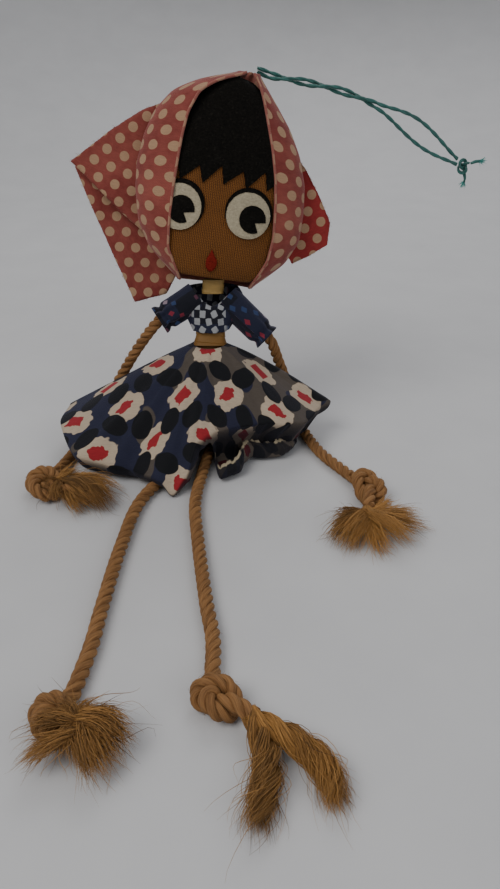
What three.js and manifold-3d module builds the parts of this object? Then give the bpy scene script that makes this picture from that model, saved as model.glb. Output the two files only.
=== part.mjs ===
// Rope-limbed cloth doll with a hanging loop, seated, in millimetres, +Z up.
// The seat is at the origin, the doll faces -Y and its head leans back to +Y.
import * as THREE from "three";
import Module from "manifold-3d";

const solids = await Module();
solids.setup();

// ---- driving dimensions ----
const ROPE_D = 6;
const ROPE_R = ROPE_D / 2;
const KNOT_ROPE_R = 2.6;
const GAP = 0.3;
const TAPE = 0.6;
const TORSO_PITCH = 3.25;
const TORSO_TOP = 79;
const TAPE_TOP = 62;
const WAIST_Z = 50;
const UPPER_LEAN = 0.33;
const UPPER_SHIFT = 0.06;
const TORSO_START = 1;
const SHOULDER_DIP = [[-13, 11.5, 74.5], [1.5, 15.1, 75.4], [14, 11.8, 73.2]];
const NECK_FOOT = new THREE.Vector3(1.9, 9.7, 79.6);
const NECK_PIVOT = new THREE.Vector3(2.5, 11, 86);
const HEAD_LEAN_DEG = 14.5;
const HEAD_ROLL_DEG = 7.9;
const HEAD_H = 99;
const HEAD_HALF_W = 36;
const HEAD_WIDEST = 42;
const HEAD_FRONT = 13;
const HEAD_BACK = 6;
const STOCKING = 1.0;
const FELT = 1.2;
const EYE_R = 11.4;
const PUPIL_R = 6.8;
const EYE_Z = 34;
const EYE_LEFT_X = -20;
const EYE_RIGHT_X = 13.8;
const LID = 2.2;
const HEAD_SIDES = 24;
const HEAD_ROWS = 12;
const FACE_ROOM = 3.2;
const FLAP_FRONT = [7.2, 8.8];
const FLAP_BACK = [11.4, 13];
const HOOD_H = 106;
const HOOD_FOOT = -2;
const HOOD_HALF_W = 44;
const HOOD_DEPTH = 15;
const CLOTH = 1.4;
const SKIRT_TOP_R = 8.6;
const SKIRT_TOP_Z = 54;
const SKIRT_WALL = 1.8;
const CORD_D = 2;
const SHOULDER_L = new THREE.Vector3(-27, 3, 66);
const SHOULDER_R = new THREE.Vector3(33, 2.5, 55);
const ELBOW_L = new THREE.Vector3(-70, 13, 3);
const ELBOW_R = new THREE.Vector3(50, 13, 3);
const HIP_Y = -7.4;
const KNEE_L = new THREE.Vector3(-31.5, -78, 3);
const KNEE_R = new THREE.Vector3(-4.5, -78, 3);
const HAND_L = new THREE.Vector3(-80, -66, 6.2);
const HAND_R = new THREE.Vector3(80, -69, 6.2);
const FOOT_L = new THREE.Vector3(-39.5, -203, 6.2);
const FOOT_R = new THREE.Vector3(12, -197, 6.2);
const KNOT_BIG_R = 6.1;
const KNOT_SMALL_R = 3.25;
const KNOT_LEAD = 15;
const LOOP_START = new THREE.Vector3(31, 42.5, 182);
const LOOP_END = new THREE.Vector3(136, 48, 139);
const LOOP_ARCH = 9;
const LOOP_TWISTS = 1.5;
const LOOP_OPENS = 0.55;
const LOOP_GAP = 4.6;
const LOOP_TIE = new THREE.Vector3(138.5, 48, 137.5);

// Hem of the skirt as [direction in degrees, reach, height of the edge].
const HEM = [
  [0, 66, 20.5], [5, 50, 19], [10, 38, 14], [18, 35, 8], [40, 40, 3.5], [65, 44, 1.9],
  [90, 45, 1.9], [115, 44, 1.9], [140, 43, 3.5], [158, 44, 7], [168, 48, 12], [176, 62, 18],
  [184, 79, 20], [199, 84, 19], [219, 85, 15], [228, 76, 11], [236, 69, 8.6], [246, 70, 9.4],
  [251.5, 71, 9], [257, 72.5, 2.6], [262, 69, 8.6], [268, 61, 9], [276, 56, 5],
  [290, 50.5, 2], [305, 49.5, 3.5], [320, 51, 2.2], [335, 54, 6], [350, 61, 17],
  [357, 67.5, 20.5], [360, 66, 20.5],
];

// Outline of the hood as [height, left side, right side, left front edge, right front edge].
const HOOD = [
  [-2, -18.5, 20, -17.5, 19], [4, -26, 27, -20.5, 22.5], [13, -36, 36.4, -25.2, 26.8],
  [25, -42.6, 42.5, -25.7, 28.2], [40, -45.5, 42.7, -25.5, 27], [53, -46, 41.3, -24.7, 25.2],
  [67, -43.6, 36.6, -23.6, 21.8], [79, -39.4, 29.8, -21.8, 18], [90, -31, 21.2, -17.2, 14.6],
  [97, -18.5, 15.5, -8.5, 12], [101, -7, 12.5, 0, 9.6], [104, 2.5, 10.5, 5.4, 7.8],
];

const V = (x, y, z) => new THREE.Vector3(x, y, z);
const rad = (d) => (d * Math.PI) / 180;
const blend = (a, b, f) => a + (b - a) * f;

// The two rows of a table on either side of a key, and how far the key is between them.
function rowsAt(table, key) {
  let i = 0;
  while (i < table.length - 2 && table[i + 1][0] <= key) i++;
  const [a, b] = [table[i], table[i + 1]];
  return [a, b, (key - a[0]) / (b[0] - a[0])];
}

// ---- solids ----
function asSolid(geometry) {
  const pos = geometry.attributes.position;
  const index = geometry.index;
  const keys = new Map();
  const verts = [];
  const tris = [];
  const remap = [];
  for (let i = 0; i < pos.count; i++) {
    const p = [pos.getX(i), pos.getY(i), pos.getZ(i)];
    const key = p.map((c) => Math.round(c * 2e4)).join(",");
    if (!keys.has(key)) {
      keys.set(key, verts.length / 3);
      verts.push(p[0], p[1], p[2]);
    }
    remap.push(keys.get(key));
  }
  const count = index ? index.count : pos.count;
  for (let i = 0; i < count; i += 3) {
    const t = [0, 1, 2].map((k) => remap[index ? index.getX(i + k) : i + k]);
    if (t[0] !== t[1] && t[1] !== t[2] && t[0] !== t[2]) {
      tris.push(t[0], t[1], t[2]);
    }
  }
  if (volumeOf(verts, tris) < 0) {
    for (let i = 0; i < tris.length; i += 3) {
      [tris[i], tris[i + 1]] = [tris[i + 1], tris[i]];
    }
  }
  return new solids.Manifold(new solids.Mesh({
    numProp: 3,
    vertProperties: new Float32Array(verts),
    triVerts: new Uint32Array(tris),
  }));
}

function volumeOf(verts, tris) {
  let v = 0;
  for (let i = 0; i < tris.length; i += 3) {
    const [a, b, c] = [0, 1, 2].map((k) => verts.slice(tris[i + k] * 3, tris[i + k] * 3 + 3));
    v += a[0] * (b[1] * c[2] - b[2] * c[1]);
    v += a[1] * (b[2] * c[0] - b[0] * c[2]);
    v += a[2] * (b[0] * c[1] - b[1] * c[0]);
  }
  return v / 6;
}

// A cut can leave a crumb behind; this keeps the piece itself.
function largest(solid) {
  return solid.decompose().sort((a, b) => b.volume() - a.volume())[0];
}

function asGeometry(solid) {
  const mesh = solid.getMesh();
  const g = new THREE.BufferGeometry();
  g.setAttribute("position", new THREE.BufferAttribute(new Float32Array(mesh.vertProperties), 3));
  g.setIndex(new THREE.BufferAttribute(new Uint32Array(mesh.triVerts), 1));
  g.computeVertexNormals();
  return g;
}

function smoothPath(points) {
  return new THREE.CatmullRomCurve3(points, false, "centripetal");
}

// A rod: a closed cylinder laid along a path. half(s, a) gives the half width and half height.
function rod(path, steps, sides, half, ref = V(0, 0, 1), endRing = 0) {
  const g = new THREE.CylinderGeometry(1, 1, 1, sides, steps, false);
  const pos = g.attributes.position;
  for (let i = 0; i < pos.count; i++) {
    let s = pos.getY(i) + 0.5;
    const row = Math.round(s * steps);
    if (endRing && row === 1) s = endRing;
    if (endRing && row === steps - 1) s = 1 - endRing;
    const [cx, cz] = [pos.getX(i), pos.getZ(i)];
    const at = path.getPointAt(Math.min(1, Math.max(0, s)));
    const t = path.getTangentAt(Math.min(1, Math.max(0, s)));
    const side = new THREE.Vector3().crossVectors(t, ref).normalize();
    const up = new THREE.Vector3().crossVectors(side, t);
    const [w, h] = half(s, Math.atan2(cz, cx));
    at.addScaledVector(side, cx * w).addScaledVector(up, cz * h);
    pos.setXYZ(i, at.x, at.y, at.z);
  }
  return asSolid(g);
}

// Half thickness of a rope piece with softly rounded ends.
function ropeHalf(length, r) {
  return (s) => {
    const nearEnd = Math.min(s, 1 - s) * length;
    const k = Math.min(1, Math.sqrt(nearEnd / r) * 0.6 + 0.62);
    return [r * k, r * k];
  };
}

function rope(points, r = ROPE_R, per = 9, sides = 10, ref = V(0, 0, 1)) {
  const path = smoothPath(points);
  const length = path.getLength();
  const steps = Math.max(4, Math.round(length / per));
  return rod(path, steps, sides, ropeHalf(length, r), ref, (0.45 * r) / length);
}

// A shell of revolution in unit space, then placed: place(s, angle, side 0 inside / 1 outside).
function shell(along, around, place) {
  const pts = [];
  for (let i = 0; i <= along; i++) pts.push(new THREE.Vector2(1 + i / along, 1));
  for (let i = along; i >= 0; i--) pts.push(new THREE.Vector2(1 + i / along, 0));
  pts.push(pts[0].clone());
  const g = new THREE.LatheGeometry(pts, around);
  const pos = g.attributes.position;
  for (let i = 0; i < pos.count; i++) {
    const [x, z] = [pos.getX(i), pos.getZ(i)];
    const s = Math.min(1, Math.max(0, Math.hypot(x, z) - 1));
    const p = place(Math.round(s * 1e5) / 1e5, Math.atan2(z, x), pos.getY(i));
    pos.setXYZ(i, p.x, p.y, p.z);
  }
  return asSolid(g);
}

// A cloth sheet of even thickness over surface(u, v), with u and v from 0 to 1.
function sheet(nu, nv, surface, t = CLOTH) {
  const g = new THREE.BoxGeometry(1, 1, 1, nu, nv, 1);
  const pos = g.attributes.position;
  const e = 0.004;
  for (let i = 0; i < pos.count; i++) {
    const u = pos.getX(i) + 0.5;
    const v = pos.getY(i) + 0.5;
    const p = surface(u, v);
    const du = surface(Math.min(1, u + e), v).sub(surface(Math.max(0, u - e), v));
    const dv = surface(u, Math.min(1, v + e)).sub(surface(u, Math.max(0, v - e)));
    const n = du.cross(dv).normalize();
    p.addScaledVector(n, pos.getZ(i) * t);
    pos.setXYZ(i, p.x, p.y, p.z);
  }
  return asSolid(g);
}

// A flat outline in X and Z, made solid from y0 to y1.
function slab(outline, y0, y1) {
  const shape = new THREE.Shape(outline.map(([x, z]) => new THREE.Vector2(x, z)));
  const g = new THREE.ExtrudeGeometry(shape, { depth: y1 - y0, bevelEnabled: false, steps: 1 });
  g.rotateX(Math.PI / 2);
  g.translate(0, y1, 0);
  return asSolid(g);
}

function disc(x, z, r, n = 28, from = 0, to = 360) {
  const out = [];
  const whole = to - from >= 360;
  for (let i = 0; i < (whole ? n : n + 1); i++) {
    const a = rad(from + ((to - from) * i) / n);
    out.push([x + r * Math.cos(a), z + r * Math.sin(a)]);
  }
  return out;
}

// ---- torso ----
function torsoAxis(from, to, dx = 0) {
  const at = (z) => {
    const y = z > WAIST_Z ? (z - WAIST_Z) * UPPER_LEAN : 0;
    return V(dx + Math.max(0, z - WAIST_Z) * UPPER_SHIFT, y, z);
  };
  const pts = [];
  for (let i = 0; i <= 6; i++) pts.push(at(from + ((to - from) * i) / 6));
  return smoothPath(pts);
}

function torsoRope(sign) {
  const path = torsoAxis(TORSO_START, TORSO_TOP, sign * TORSO_PITCH);
  return rod(path, 8, 10, () => [ROPE_R - 0.15, ROPE_R - 0.15], V(0, 1, 0));
}

function pillHalf(w, h) {
  return (s, a) => {
    const k = 1 / Math.pow(Math.abs(Math.cos(a)) ** 3 + Math.abs(Math.sin(a)) ** 3, 1 / 3);
    return [w * k, h * k];
  };
}

// Tape wound round both ropes, folded shut and flat underneath.
function torsoTape() {
  const w = TORSO_PITCH + ROPE_R + GAP;
  const outer = rod(torsoAxis(0, TAPE_TOP), 8, 20, pillHalf(w + TAPE, ROPE_R + GAP + TAPE),
    V(0, 1, 0));
  const inner = rod(torsoAxis(TAPE, TAPE_TOP + 4), 8, 20, pillHalf(w, ROPE_R + GAP), V(0, 1, 0));
  const cut = solids.Manifold.cube([60, 60, 4], true).translate([0, 0, -2]);
  return outer.subtract(inner).subtract(cut);
}

function shoulderPath() {
  const inL = SHOULDER_L.clone().lerp(V(-13, 9, 74), 0.24);
  const inR = SHOULDER_R.clone().lerp(V(14, 9, 73), 0.16);
  return smoothPath([inL, ...SHOULDER_DIP.map((p) => V(...p)), inR]);
}

function shoulderRope() {
  const path = shoulderPath();
  return rod(path, 12, 8, () => [ROPE_R - 0.2, ROPE_R - 0.2]);
}

// ---- blouse ----
function bodicePoint(s, a, side) {
  const z = 81.5 - 20.5 * s;
  const wide = 12.5 + 5.2 * Math.sin(Math.min(1, s * 2.6) * Math.PI * 0.5) - 9.4 * s ** 1.4;
  const deep = 7.2 - 1.4 * s;
  const dip = Math.max(0, -Math.sin(a)) ** 6 * (1 - s) ** 3 * 8;
  const ripple = 1 + 0.03 * Math.cos(9 * a) * s;
  const t = side * CLOTH;
  const yc = (z - WAIST_Z) * UPPER_LEAN + 1.7 * (1 - s);
  return V(
    (z - WAIST_Z) * UPPER_SHIFT + Math.cos(a) * (wide + t) * ripple,
    yc + Math.sin(a) * (deep + t) * ripple,
    z - dip,
  );
}

// The space the bodice fills, grown by extra, which the sleeves are kept out of.
function bodiceBlock(extra) {
  const g = new THREE.CylinderGeometry(1, 1, 1, 24, 5, false);
  const pos = g.attributes.position;
  for (let i = 0; i < pos.count; i++) {
    const s = pos.getY(i) + 0.5;
    const [cx, cz] = [pos.getX(i), pos.getZ(i)];
    const rho = Math.hypot(cx, cz);
    const p = bodicePoint(Math.round(s * 5) / 5, Math.atan2(cz, cx), 1 + extra / CLOTH);
    const mid = V((p.z - WAIST_Z) * UPPER_SHIFT, (p.z - WAIST_Z) * UPPER_LEAN, p.z);
    p.lerp(mid, 1 - rho);
    p.z += (0.5 - s) * 2 * extra;
    pos.setXYZ(i, p.x, p.y, p.z);
  }
  return asSolid(g);
}

function bodice() {
  const path = shoulderPath();
  const hole = rod(path, 12, 10, () => [ROPE_R + GAP, ROPE_R + GAP]);
  return shell(5, 24, bodicePoint).subtract(hole);
}

function sleeve(from, to, r0, r1, frill, drop) {
  const axis = to.clone().sub(from).normalize();
  const across = new THREE.Vector3().crossVectors(axis, V(0, 0, 1)).normalize();
  const up = new THREE.Vector3().crossVectors(across, axis);
  const whole = shell(4, 20, (s, a, side) => {
    const p = from.clone().lerp(to, s);
    const r = r0 + (r1 - r0) * s + side * CLOTH;
    const wave = 1 + frill * s * s * Math.cos(8 * a);
    p.addScaledVector(across, Math.cos(a) * r * wave);
    p.addScaledVector(up, Math.sin(a) * r * wave - drop * s * s * Math.max(0, -Math.sin(a)));
    return p;
  });
  return whole.subtract(bodiceBlock(GAP + 0.15));
}

function sleeveThread(at, axis, r) {
  const g = new THREE.TorusGeometry(r, 0.4, 5, 20);
  const turn = new THREE.Quaternion().setFromUnitVectors(V(0, 0, 1), axis.clone().normalize());
  g.applyQuaternion(turn);
  g.translate(at.x, at.y, at.z);
  return asSolid(g);
}

// ---- skirt ----
function hemAt(deg) {
  const [a, b, f] = rowsAt(HEM, ((deg % 360) + 360) % 360);
  const k = f * f * (3 - 2 * f);
  return [blend(a[1], b[1], k), blend(a[2], b[2], k)];
}

function skirtPoint(s, a, side) {
  const deg = (a * 180) / Math.PI;
  const [reach, edge] = hemAt(deg);
  const fold = 1 + 0.025 * Math.cos(11 * a) * Math.sin(Math.PI * Math.min(1, s * 1.1));
  const r = SKIRT_TOP_R + (reach - SKIRT_TOP_R) * (0.12 * s * s + 0.88 * s) * fold;
  const h = 1 - s ** 1.25;
  const z = edge + (SKIRT_TOP_Z - edge) * h + 2.2 * Math.sin(7 * a + 0.6) * s * (1 - s);
  return V(r * Math.cos(a), r * Math.sin(a), z - (1 - side) * SKIRT_WALL);
}

function skirt() {
  return shell(5, 80, skirtPoint);
}

// Golden tape over the gathered top of the skirt, flaring a little below.
function waistBinding() {
  return shell(3, 24, (s, a, side) => {
    const z = 60 - 5 * s;
    const wide = 8.3 + 2.2 * s * s + side * 0.8 + 0.25 * Math.cos(8 * a) * s;
    const deep = 5.0 + 3.9 * s * s + side * 0.8 + 0.25 * Math.cos(8 * a) * s;
    const lean = z - WAIST_Z;
    return V(lean * UPPER_SHIFT + wide * Math.cos(a), lean * UPPER_LEAN + deep * Math.sin(a), z);
  });
}

// ---- neck ----
function neckAxis(from, to) {
  return smoothPath([NECK_FOOT.clone().lerp(NECK_PIVOT, from),
    NECK_FOOT.clone().lerp(NECK_PIVOT, to)]);
}

function neckTape() {
  const w = TORSO_PITCH + ROPE_R - 0.4;
  const h = ROPE_R + GAP;
  const outer = rod(neckAxis(0, 0.82), 2, 20, pillHalf(w + TAPE, h + TAPE), V(0, 1, 0));
  const inner = rod(neckAxis(-0.3, 1.1), 2, 20, pillHalf(w, h), V(0, 1, 0));
  return outer.subtract(inner);
}

function neckRope() {
  const path = neckAxis(0.02, 0.8);
  return rod(path, 4, 16, () => [TORSO_PITCH + ROPE_R - 0.8, ROPE_R], V(0, 1, 0));
}

// ---- head, drawn upright with its pivot at the origin, then leant and rolled ----
function seatHead(solid) {
  const m = new THREE.Matrix4().makeTranslation(NECK_PIVOT.x, NECK_PIVOT.y, NECK_PIVOT.z);
  m.multiply(new THREE.Matrix4().makeRotationY(rad(HEAD_ROLL_DEG)));
  m.multiply(new THREE.Matrix4().makeRotationX(rad(-HEAD_LEAN_DEG)));
  return solid.transform(m.elements);
}

function headHalfWidth(z) {
  if (z < HEAD_WIDEST) {
    const k = Math.min(1, (HEAD_WIDEST - z) / HEAD_WIDEST);
    return HEAD_HALF_W * Math.pow(Math.max(0, 1 - k ** 3.1), 0.5) * 0.66 + HEAD_HALF_W * 0.34;
  }
  const k = Math.min(1, (z - HEAD_WIDEST) / (HEAD_H - HEAD_WIDEST));
  return HEAD_HALF_W * Math.pow(Math.max(0, 1 - k ** 1.9), 0.72) + 1.5;
}

// The head grown by d all round, flat on its back and rounder in front.
function headSolid(d) {
  const half = (s, a) => {
    const z = s * HEAD_H;
    const w = headHalfWidth(z) + d;
    const k = Math.min(1, (headHalfWidth(z) / HEAD_HALF_W) ** 0.6);
    const front = HEAD_FRONT * k + d;
    const back = HEAD_BACK * Math.min(1, k * 1.15) + d;
    return [w, Math.sin(a) < 0 ? back : front];
  };
  const spread = (s) => 0.5 - 0.5 * Math.cos(Math.PI * s);
  const g = new THREE.CylinderGeometry(1, 1, 1, HEAD_SIDES, HEAD_ROWS, false);
  const pos = g.attributes.position;
  for (let i = 0; i < pos.count; i++) {
    const s = spread(pos.getY(i) + 0.5);
    const [cx, cz] = [pos.getX(i), pos.getZ(i)];
    const z = 1 - d + (HEAD_H - 1 + 2 * d) * s;
    const [w, h] = half(s, Math.atan2(cz, cx));
    pos.setXYZ(i, cx * w, -cz * h, z);
  }
  return asSolid(g);
}

function faceStocking() {
  const behind = solids.Manifold.cube([200, 40, 240], true).translate([0, 3.6 + 20, 40]);
  return seatHead(headSolid(0).subtract(headSolid(-STOCKING)).subtract(behind));
}

function headBoard() {
  const slice = solids.Manifold.cube([200, 2, 240], true).translate([0, 2.6, 40]);
  return seatHead(headSolid(-STOCKING - GAP).intersect(slice));
}

function headPadding() {
  const front = solids.Manifold.cube([200, 40, 240], true).translate([0, 1.3 - 20, 40]);
  return seatHead(headSolid(-STOCKING - GAP).intersect(front));
}

// A felt piece lying on the face between two depths of cover.
function felt(outline, low, high) {
  const layer = headSolid(high).subtract(headSolid(low));
  return seatHead(layer.intersect(slab(outline, -40, -1.5)));
}

function hairOutline() {
  const teeth = 6;
  const left = -33;
  const step = 66 / teeth;
  const out = [[-50, 130], [-50, 46]];
  for (let i = 0; i < teeth; i++) {
    const x = left + i * step;
    out.push([x, 46.5 + (i % 2)]);
    out.push([x + step * 0.82, 55.5 - (i % 2)]);
    out.push([x + step * 0.96, 47 + (i % 2)]);
  }
  out.push([50, 47], [50, 130]);
  return out;
}

// The fringe is trimmed round the black lids so the felts lie side by side.
function hairFelt() {
  const room = (x) => slab(disc(x, EYE_Z + LID * 0.8, EYE_R + 1.6), -40, 1);
  const whole = headSolid(GAP + FELT).subtract(headSolid(GAP)).intersect(
    slab(hairOutline(), -40, -1.5));
  return seatHead(whole.subtract(room(EYE_LEFT_X)).subtract(room(EYE_RIGHT_X)));
}

// A disc with a wedge cut out at its lower right.
function pupilOutline(x, z) {
  const rim = disc(x, z, PUPIL_R, 22, -6, 300);
  return [[x + 1.4, z - 1.5], ...rim];
}

// A thin crescent of black felt showing over the top of the white.
function eyeLid(x, lean) {
  const layer = headSolid(GAP + FELT).subtract(headSolid(GAP));
  const whole = slab(disc(x + lean, EYE_Z + LID, EYE_R + 0.3), -40, -1.5);
  const white = slab(disc(x, EYE_Z, EYE_R + GAP), -50, 5);
  const below = solids.Manifold.cube([80, 120, 60], true).translate([x, 0, EYE_Z + 4 - 30]);
  return seatHead(layer.intersect(whole.subtract(white).subtract(below)));
}

function mouthOutline() {
  return [
    [-2.4, 15.4], [-0.9, 12.4], [0.5, 10.6], [0.9, 8.6], [0.3, 6.2], [-1.2, 4.4],
    [-3, 4.2], [-4.6, 6], [-5.1, 8.4], [-4.6, 10.8], [-3.5, 12.8],
  ];
}

// ---- headscarf ----
// u runs from the left front edge round the back to the right one, v from the chin to the peak.
function hoodPoint(u, v) {
  const z = HOOD_FOOT + HOOD_H * v;
  const [a, b, f] = rowsAt(HOOD, z);
  const [left, right, frontL, frontR] = [1, 2, 3, 4].map((k) => blend(a[k], b[k], f));
  const mid = (left + right) / 2;
  const w = (right - left) / 2;
  const k = Math.min(1, (w / HOOD_HALF_W) ** 0.42);
  const turnL = Math.PI - Math.asin((mid - frontL) / w);
  const turnR = Math.PI - Math.asin((frontR - mid) / w);
  const psi = -turnL + (turnL + turnR) * u;
  const pleat = 0.5 * Math.sin(9 * psi + 3 * v) * Math.max(0, Math.cos(psi));
  const forward = Math.max(0, Math.abs(psi) - Math.PI / 2) * 2.2;
  return V(
    mid + Math.sin(psi) * w,
    2.6 + Math.cos(psi) * (HOOD_DEPTH * k + pleat) - forward * k,
    z - 2.5 * (1 - k) * (1 - Math.cos(psi)) * (v > 0.5 ? 1 : 0),
  );
}

function headscarf() {
  const hood = sheet(26, 13, hoodPoint);
  const upper = slab([[-35, 84], [-60, 70], [-81, 51], [-66, 45], [-40, 22], [-36, 40]],
    ...FLAP_FRONT);
  const lower = slab([[-33, 52], [-80.5, 49], [-65, 24], [-39, -17], [-22, -11], [-20, 8],
    [-31, 26]], ...FLAP_BACK);
  const fold = slab([[-80.9, 51.4], [-80.4, 48.8], [-77.6, 45.4], [-75, 49]],
    FLAP_FRONT[0], FLAP_BACK[1]);
  const right = slab([[36, 60], [47, 54], [57, 37], [57, 26], [40, 14], [36, 30]],
    ...FLAP_FRONT);
  const inside = headSolid(FACE_ROOM).intersect(
    solids.Manifold.cube([200, 60, 240], true).translate([0, 0, 40]));
  return seatHead(largest(hood.add(upper).add(lower).add(fold).add(right).subtract(inside)));
}

// ---- hanging loop ----
// The two strands lie twisted together, then open into the loop before the knot.
function cordPoint(t, phase) {
  const close = CORD_D / 2 + 0.25;
  const opened = Math.max(0, (t - LOOP_OPENS) / (1 - LOOP_OPENS));
  const apart = close + LOOP_GAP * Math.sin(Math.PI * opened) ** 1.5;
  const turn = 2 * Math.PI * LOOP_TWISTS * Math.min(1, t / LOOP_OPENS) + phase;
  const p = LOOP_START.clone().lerp(LOOP_END, t);
  p.z += LOOP_ARCH * Math.sin(Math.PI * t) ** 1.2 + apart * Math.cos(turn);
  p.y += close * Math.sin(turn);
  return p;
}

function hangingCord(phase) {
  const pts = [];
  for (let i = 0; i <= 30; i++) pts.push(cordPoint(0.012 + (0.945 * i) / 30, phase));
  const path = smoothPath(pts);
  return rod(path, 30, 6, () => [CORD_D / 2, CORD_D / 2], V(0, 1, 0));
}

// ---- knots and frayed ends ----
// Centre line of an overhand knot lying flat: in low from one side, out high at the other.
function knotPath(centre, inDeg, outDeg, mirror) {
  const mid = rad((inDeg + outDeg) / 2);
  const r = KNOT_SMALL_R;
  const pts = [];
  const put = (x, y, z) => {
    const yy = mirror ? -y : y;
    pts.push(V(
      centre.x + x * Math.cos(mid) - yy * Math.sin(mid),
      centre.y + x * Math.sin(mid) + yy * Math.cos(mid),
      centre.z + z,
    ));
  };
  for (let i = 0; i <= 20; i++) {
    const q = rad(30 + (300 * i) / 20);
    const k = KNOT_BIG_R + r * Math.cos(3 * q);
    put(k * Math.cos(2 * q), k * Math.sin(2 * q), -r * Math.sin(3 * q));
  }
  const lead = (deg, z) => {
    const a = rad(deg);
    return V(centre.x + KNOT_LEAD * Math.cos(a), centre.y + KNOT_LEAD * Math.sin(a), z);
  };
  pts.unshift(lead(inDeg, centre.z - r));
  pts.push(lead(outDeg, centre.z + r * 0.5));
  return smoothPath(pts);
}

function ropeKnot(path) {
  return rod(path, 38, 7, () => [KNOT_ROPE_R, KNOT_ROPE_R]);
}

// A frayed end: a fluted, flattened brush of fibres that spreads along the floor.
function tassel(points, width, height, flutes) {
  const path = smoothPath(points);
  return rod(path, 7, 20, (s, a) => {
    const grow = Math.sin(Math.min(1, s * 1.15) * Math.PI * 0.5);
    const end = Math.min(1, Math.sqrt(Math.max(0, 1 - s)) * 2.2 + 0.32);
    const flute = 1 + 0.13 * Math.min(1, 2 * s) * Math.cos(flutes * a + 5 * s);
    const h = (2 + (height - 2) * grow) * end;
    return [(2 + (width - 2) * grow) * end * flute, h * (Math.sin(a) < 0 ? 1 : flute)];
  });
}

// ---- materials ----
const finish = (hex, roughness) => new THREE.MeshStandardMaterial({ color: hex, roughness });
const ROPE_BROWN = finish(0xa5703a, 0.9);
const FIBRE_BROWN = finish(0xb0813f, 0.95);
const TAPE_GOLD = finish(0xcf9a35, 0.55);
const BLOUSE_PRINT = finish(0x23264a, 0.85);
const SKIRT_PRINT = finish(0x5b5f86, 0.85);
const SCARF_PINK = finish(0xc9656a, 0.85);
const KNIT_BROWN = finish(0x94602f, 0.95);
const FELT_BLACK = finish(0x16130f, 0.98);
const FELT_WHITE = finish(0xece7dc, 0.98);
const FELT_RED = finish(0xc0202a, 0.98);
const CARD_GREY = finish(0x9a8f7c, 0.9);
const WADDING = finish(0xe6e0d0, 1.0);
const CORD_GREEN = finish(0x1f8a78, 0.6);
const THREAD_DARK = finish(0x2a2640, 0.8);

// ---- assembly ----
const doll = new THREE.Group();
doll.name = "rope_doll";

function put(name, solid, material) {
  const mesh = new THREE.Mesh(asGeometry(solid), material);
  mesh.name = name;
  doll.add(mesh);
}

function addTorso() {
  put("torso_rope_left", torsoRope(-1), ROPE_BROWN);
  put("torso_rope_right", torsoRope(1), ROPE_BROWN);
  put("torso_tape", torsoTape(), TAPE_GOLD);
  put("shoulder_rope", shoulderRope(), ROPE_BROWN);
  put("blouse_bodice", bodice(), BLOUSE_PRINT);
  const [rootL, rootR] = [V(-7, 10, 77), V(9, 10, 76)];
  put("blouse_sleeve_left", sleeve(rootL, SHOULDER_L, 6.8, 7.2, 0.14, 0), BLOUSE_PRINT);
  put("blouse_sleeve_right", sleeve(rootR, SHOULDER_R, 6.8, 6.2, 0.06, 2), BLOUSE_PRINT);
  const [dirL, dirR] = [SHOULDER_L.clone().sub(rootL), SHOULDER_R.clone().sub(rootR)];
  const nearL = SHOULDER_L.clone().addScaledVector(dirL, -0.16);
  const nearR = SHOULDER_R.clone().addScaledVector(dirR, -0.1);
  put("sleeve_thread_left", sleeveThread(nearL, dirL, 9.9), THREAD_DARK);
  put("sleeve_thread_right", sleeveThread(nearR, dirR, 10.4), THREAD_DARK);
  put("skirt", skirt(), SKIRT_PRINT);
  put("waist_binding", waistBinding(), TAPE_GOLD);
  put("neck_rope", neckRope(), ROPE_BROWN);
  put("neck_tape", neckTape(), TAPE_GOLD);
}

function addHead() {
  put("head_board", headBoard(), CARD_GREY);
  put("head_padding", headPadding(), WADDING);
  put("face_stocking", faceStocking(), KNIT_BROWN);
  const low = GAP;
  const high = GAP + FELT;
  put("hair_felt", hairFelt(), FELT_BLACK);
  put("eye_white_left", felt(disc(EYE_LEFT_X, EYE_Z, EYE_R), low, high), FELT_WHITE);
  put("eye_white_right", felt(disc(EYE_RIGHT_X, EYE_Z, EYE_R), low, high), FELT_WHITE);
  put("eye_lid_left", eyeLid(EYE_LEFT_X, -0.8), FELT_BLACK);
  put("eye_lid_right", eyeLid(EYE_RIGHT_X, 0.8), FELT_BLACK);
  const up = high + GAP;
  const left = pupilOutline(EYE_LEFT_X + 1.2, EYE_Z - 1.2);
  const right = pupilOutline(EYE_RIGHT_X + 2.2, EYE_Z - 1.6);
  put("pupil_left", felt(left, up, up + FELT), FELT_BLACK);
  put("pupil_right", felt(right, up, up + FELT), FELT_BLACK);
  put("mouth_felt", felt(mouthOutline(), low, high), FELT_RED);
  put("headscarf", headscarf(), SCARF_PINK);
}

function addLoop() {
  put("hanging_cord_a", hangingCord(0), CORD_GREEN);
  put("hanging_cord_b", hangingCord(Math.PI), CORD_GREEN);
  const pts = [];
  for (let i = 0; i <= 18; i++) {
    const q = rad(30 + (300 * i) / 18);
    const k = 2.3 + 1.25 * Math.cos(3 * q);
    pts.push(V(LOOP_TIE.x + k * Math.cos(2 * q), LOOP_TIE.y - 1.25 * Math.sin(3 * q),
      LOOP_TIE.z + k * Math.sin(2 * q)));
  }
  const knot = rod(smoothPath(pts), 26, 6, () => [0.92, 0.92], V(0, 1, 0));
  put("hanging_knot", knot, CORD_GREEN);
  const tailA = [V(143.4, 48, 139.6), V(146, 48.4, 140.2), V(149, 48, 140.4)];
  const tailB = [V(139.4, 48, 132.6), V(139.9, 47.6, 130), V(139.2, 48, 127.4)];
  put("cord_tail_a", rope(tailA, 0.95, 2, 6, V(0, 1, 0)), CORD_GREEN);
  put("cord_tail_b", rope(tailB, 0.95, 2, 6, V(0, 1, 0)), CORD_GREEN);
}

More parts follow.
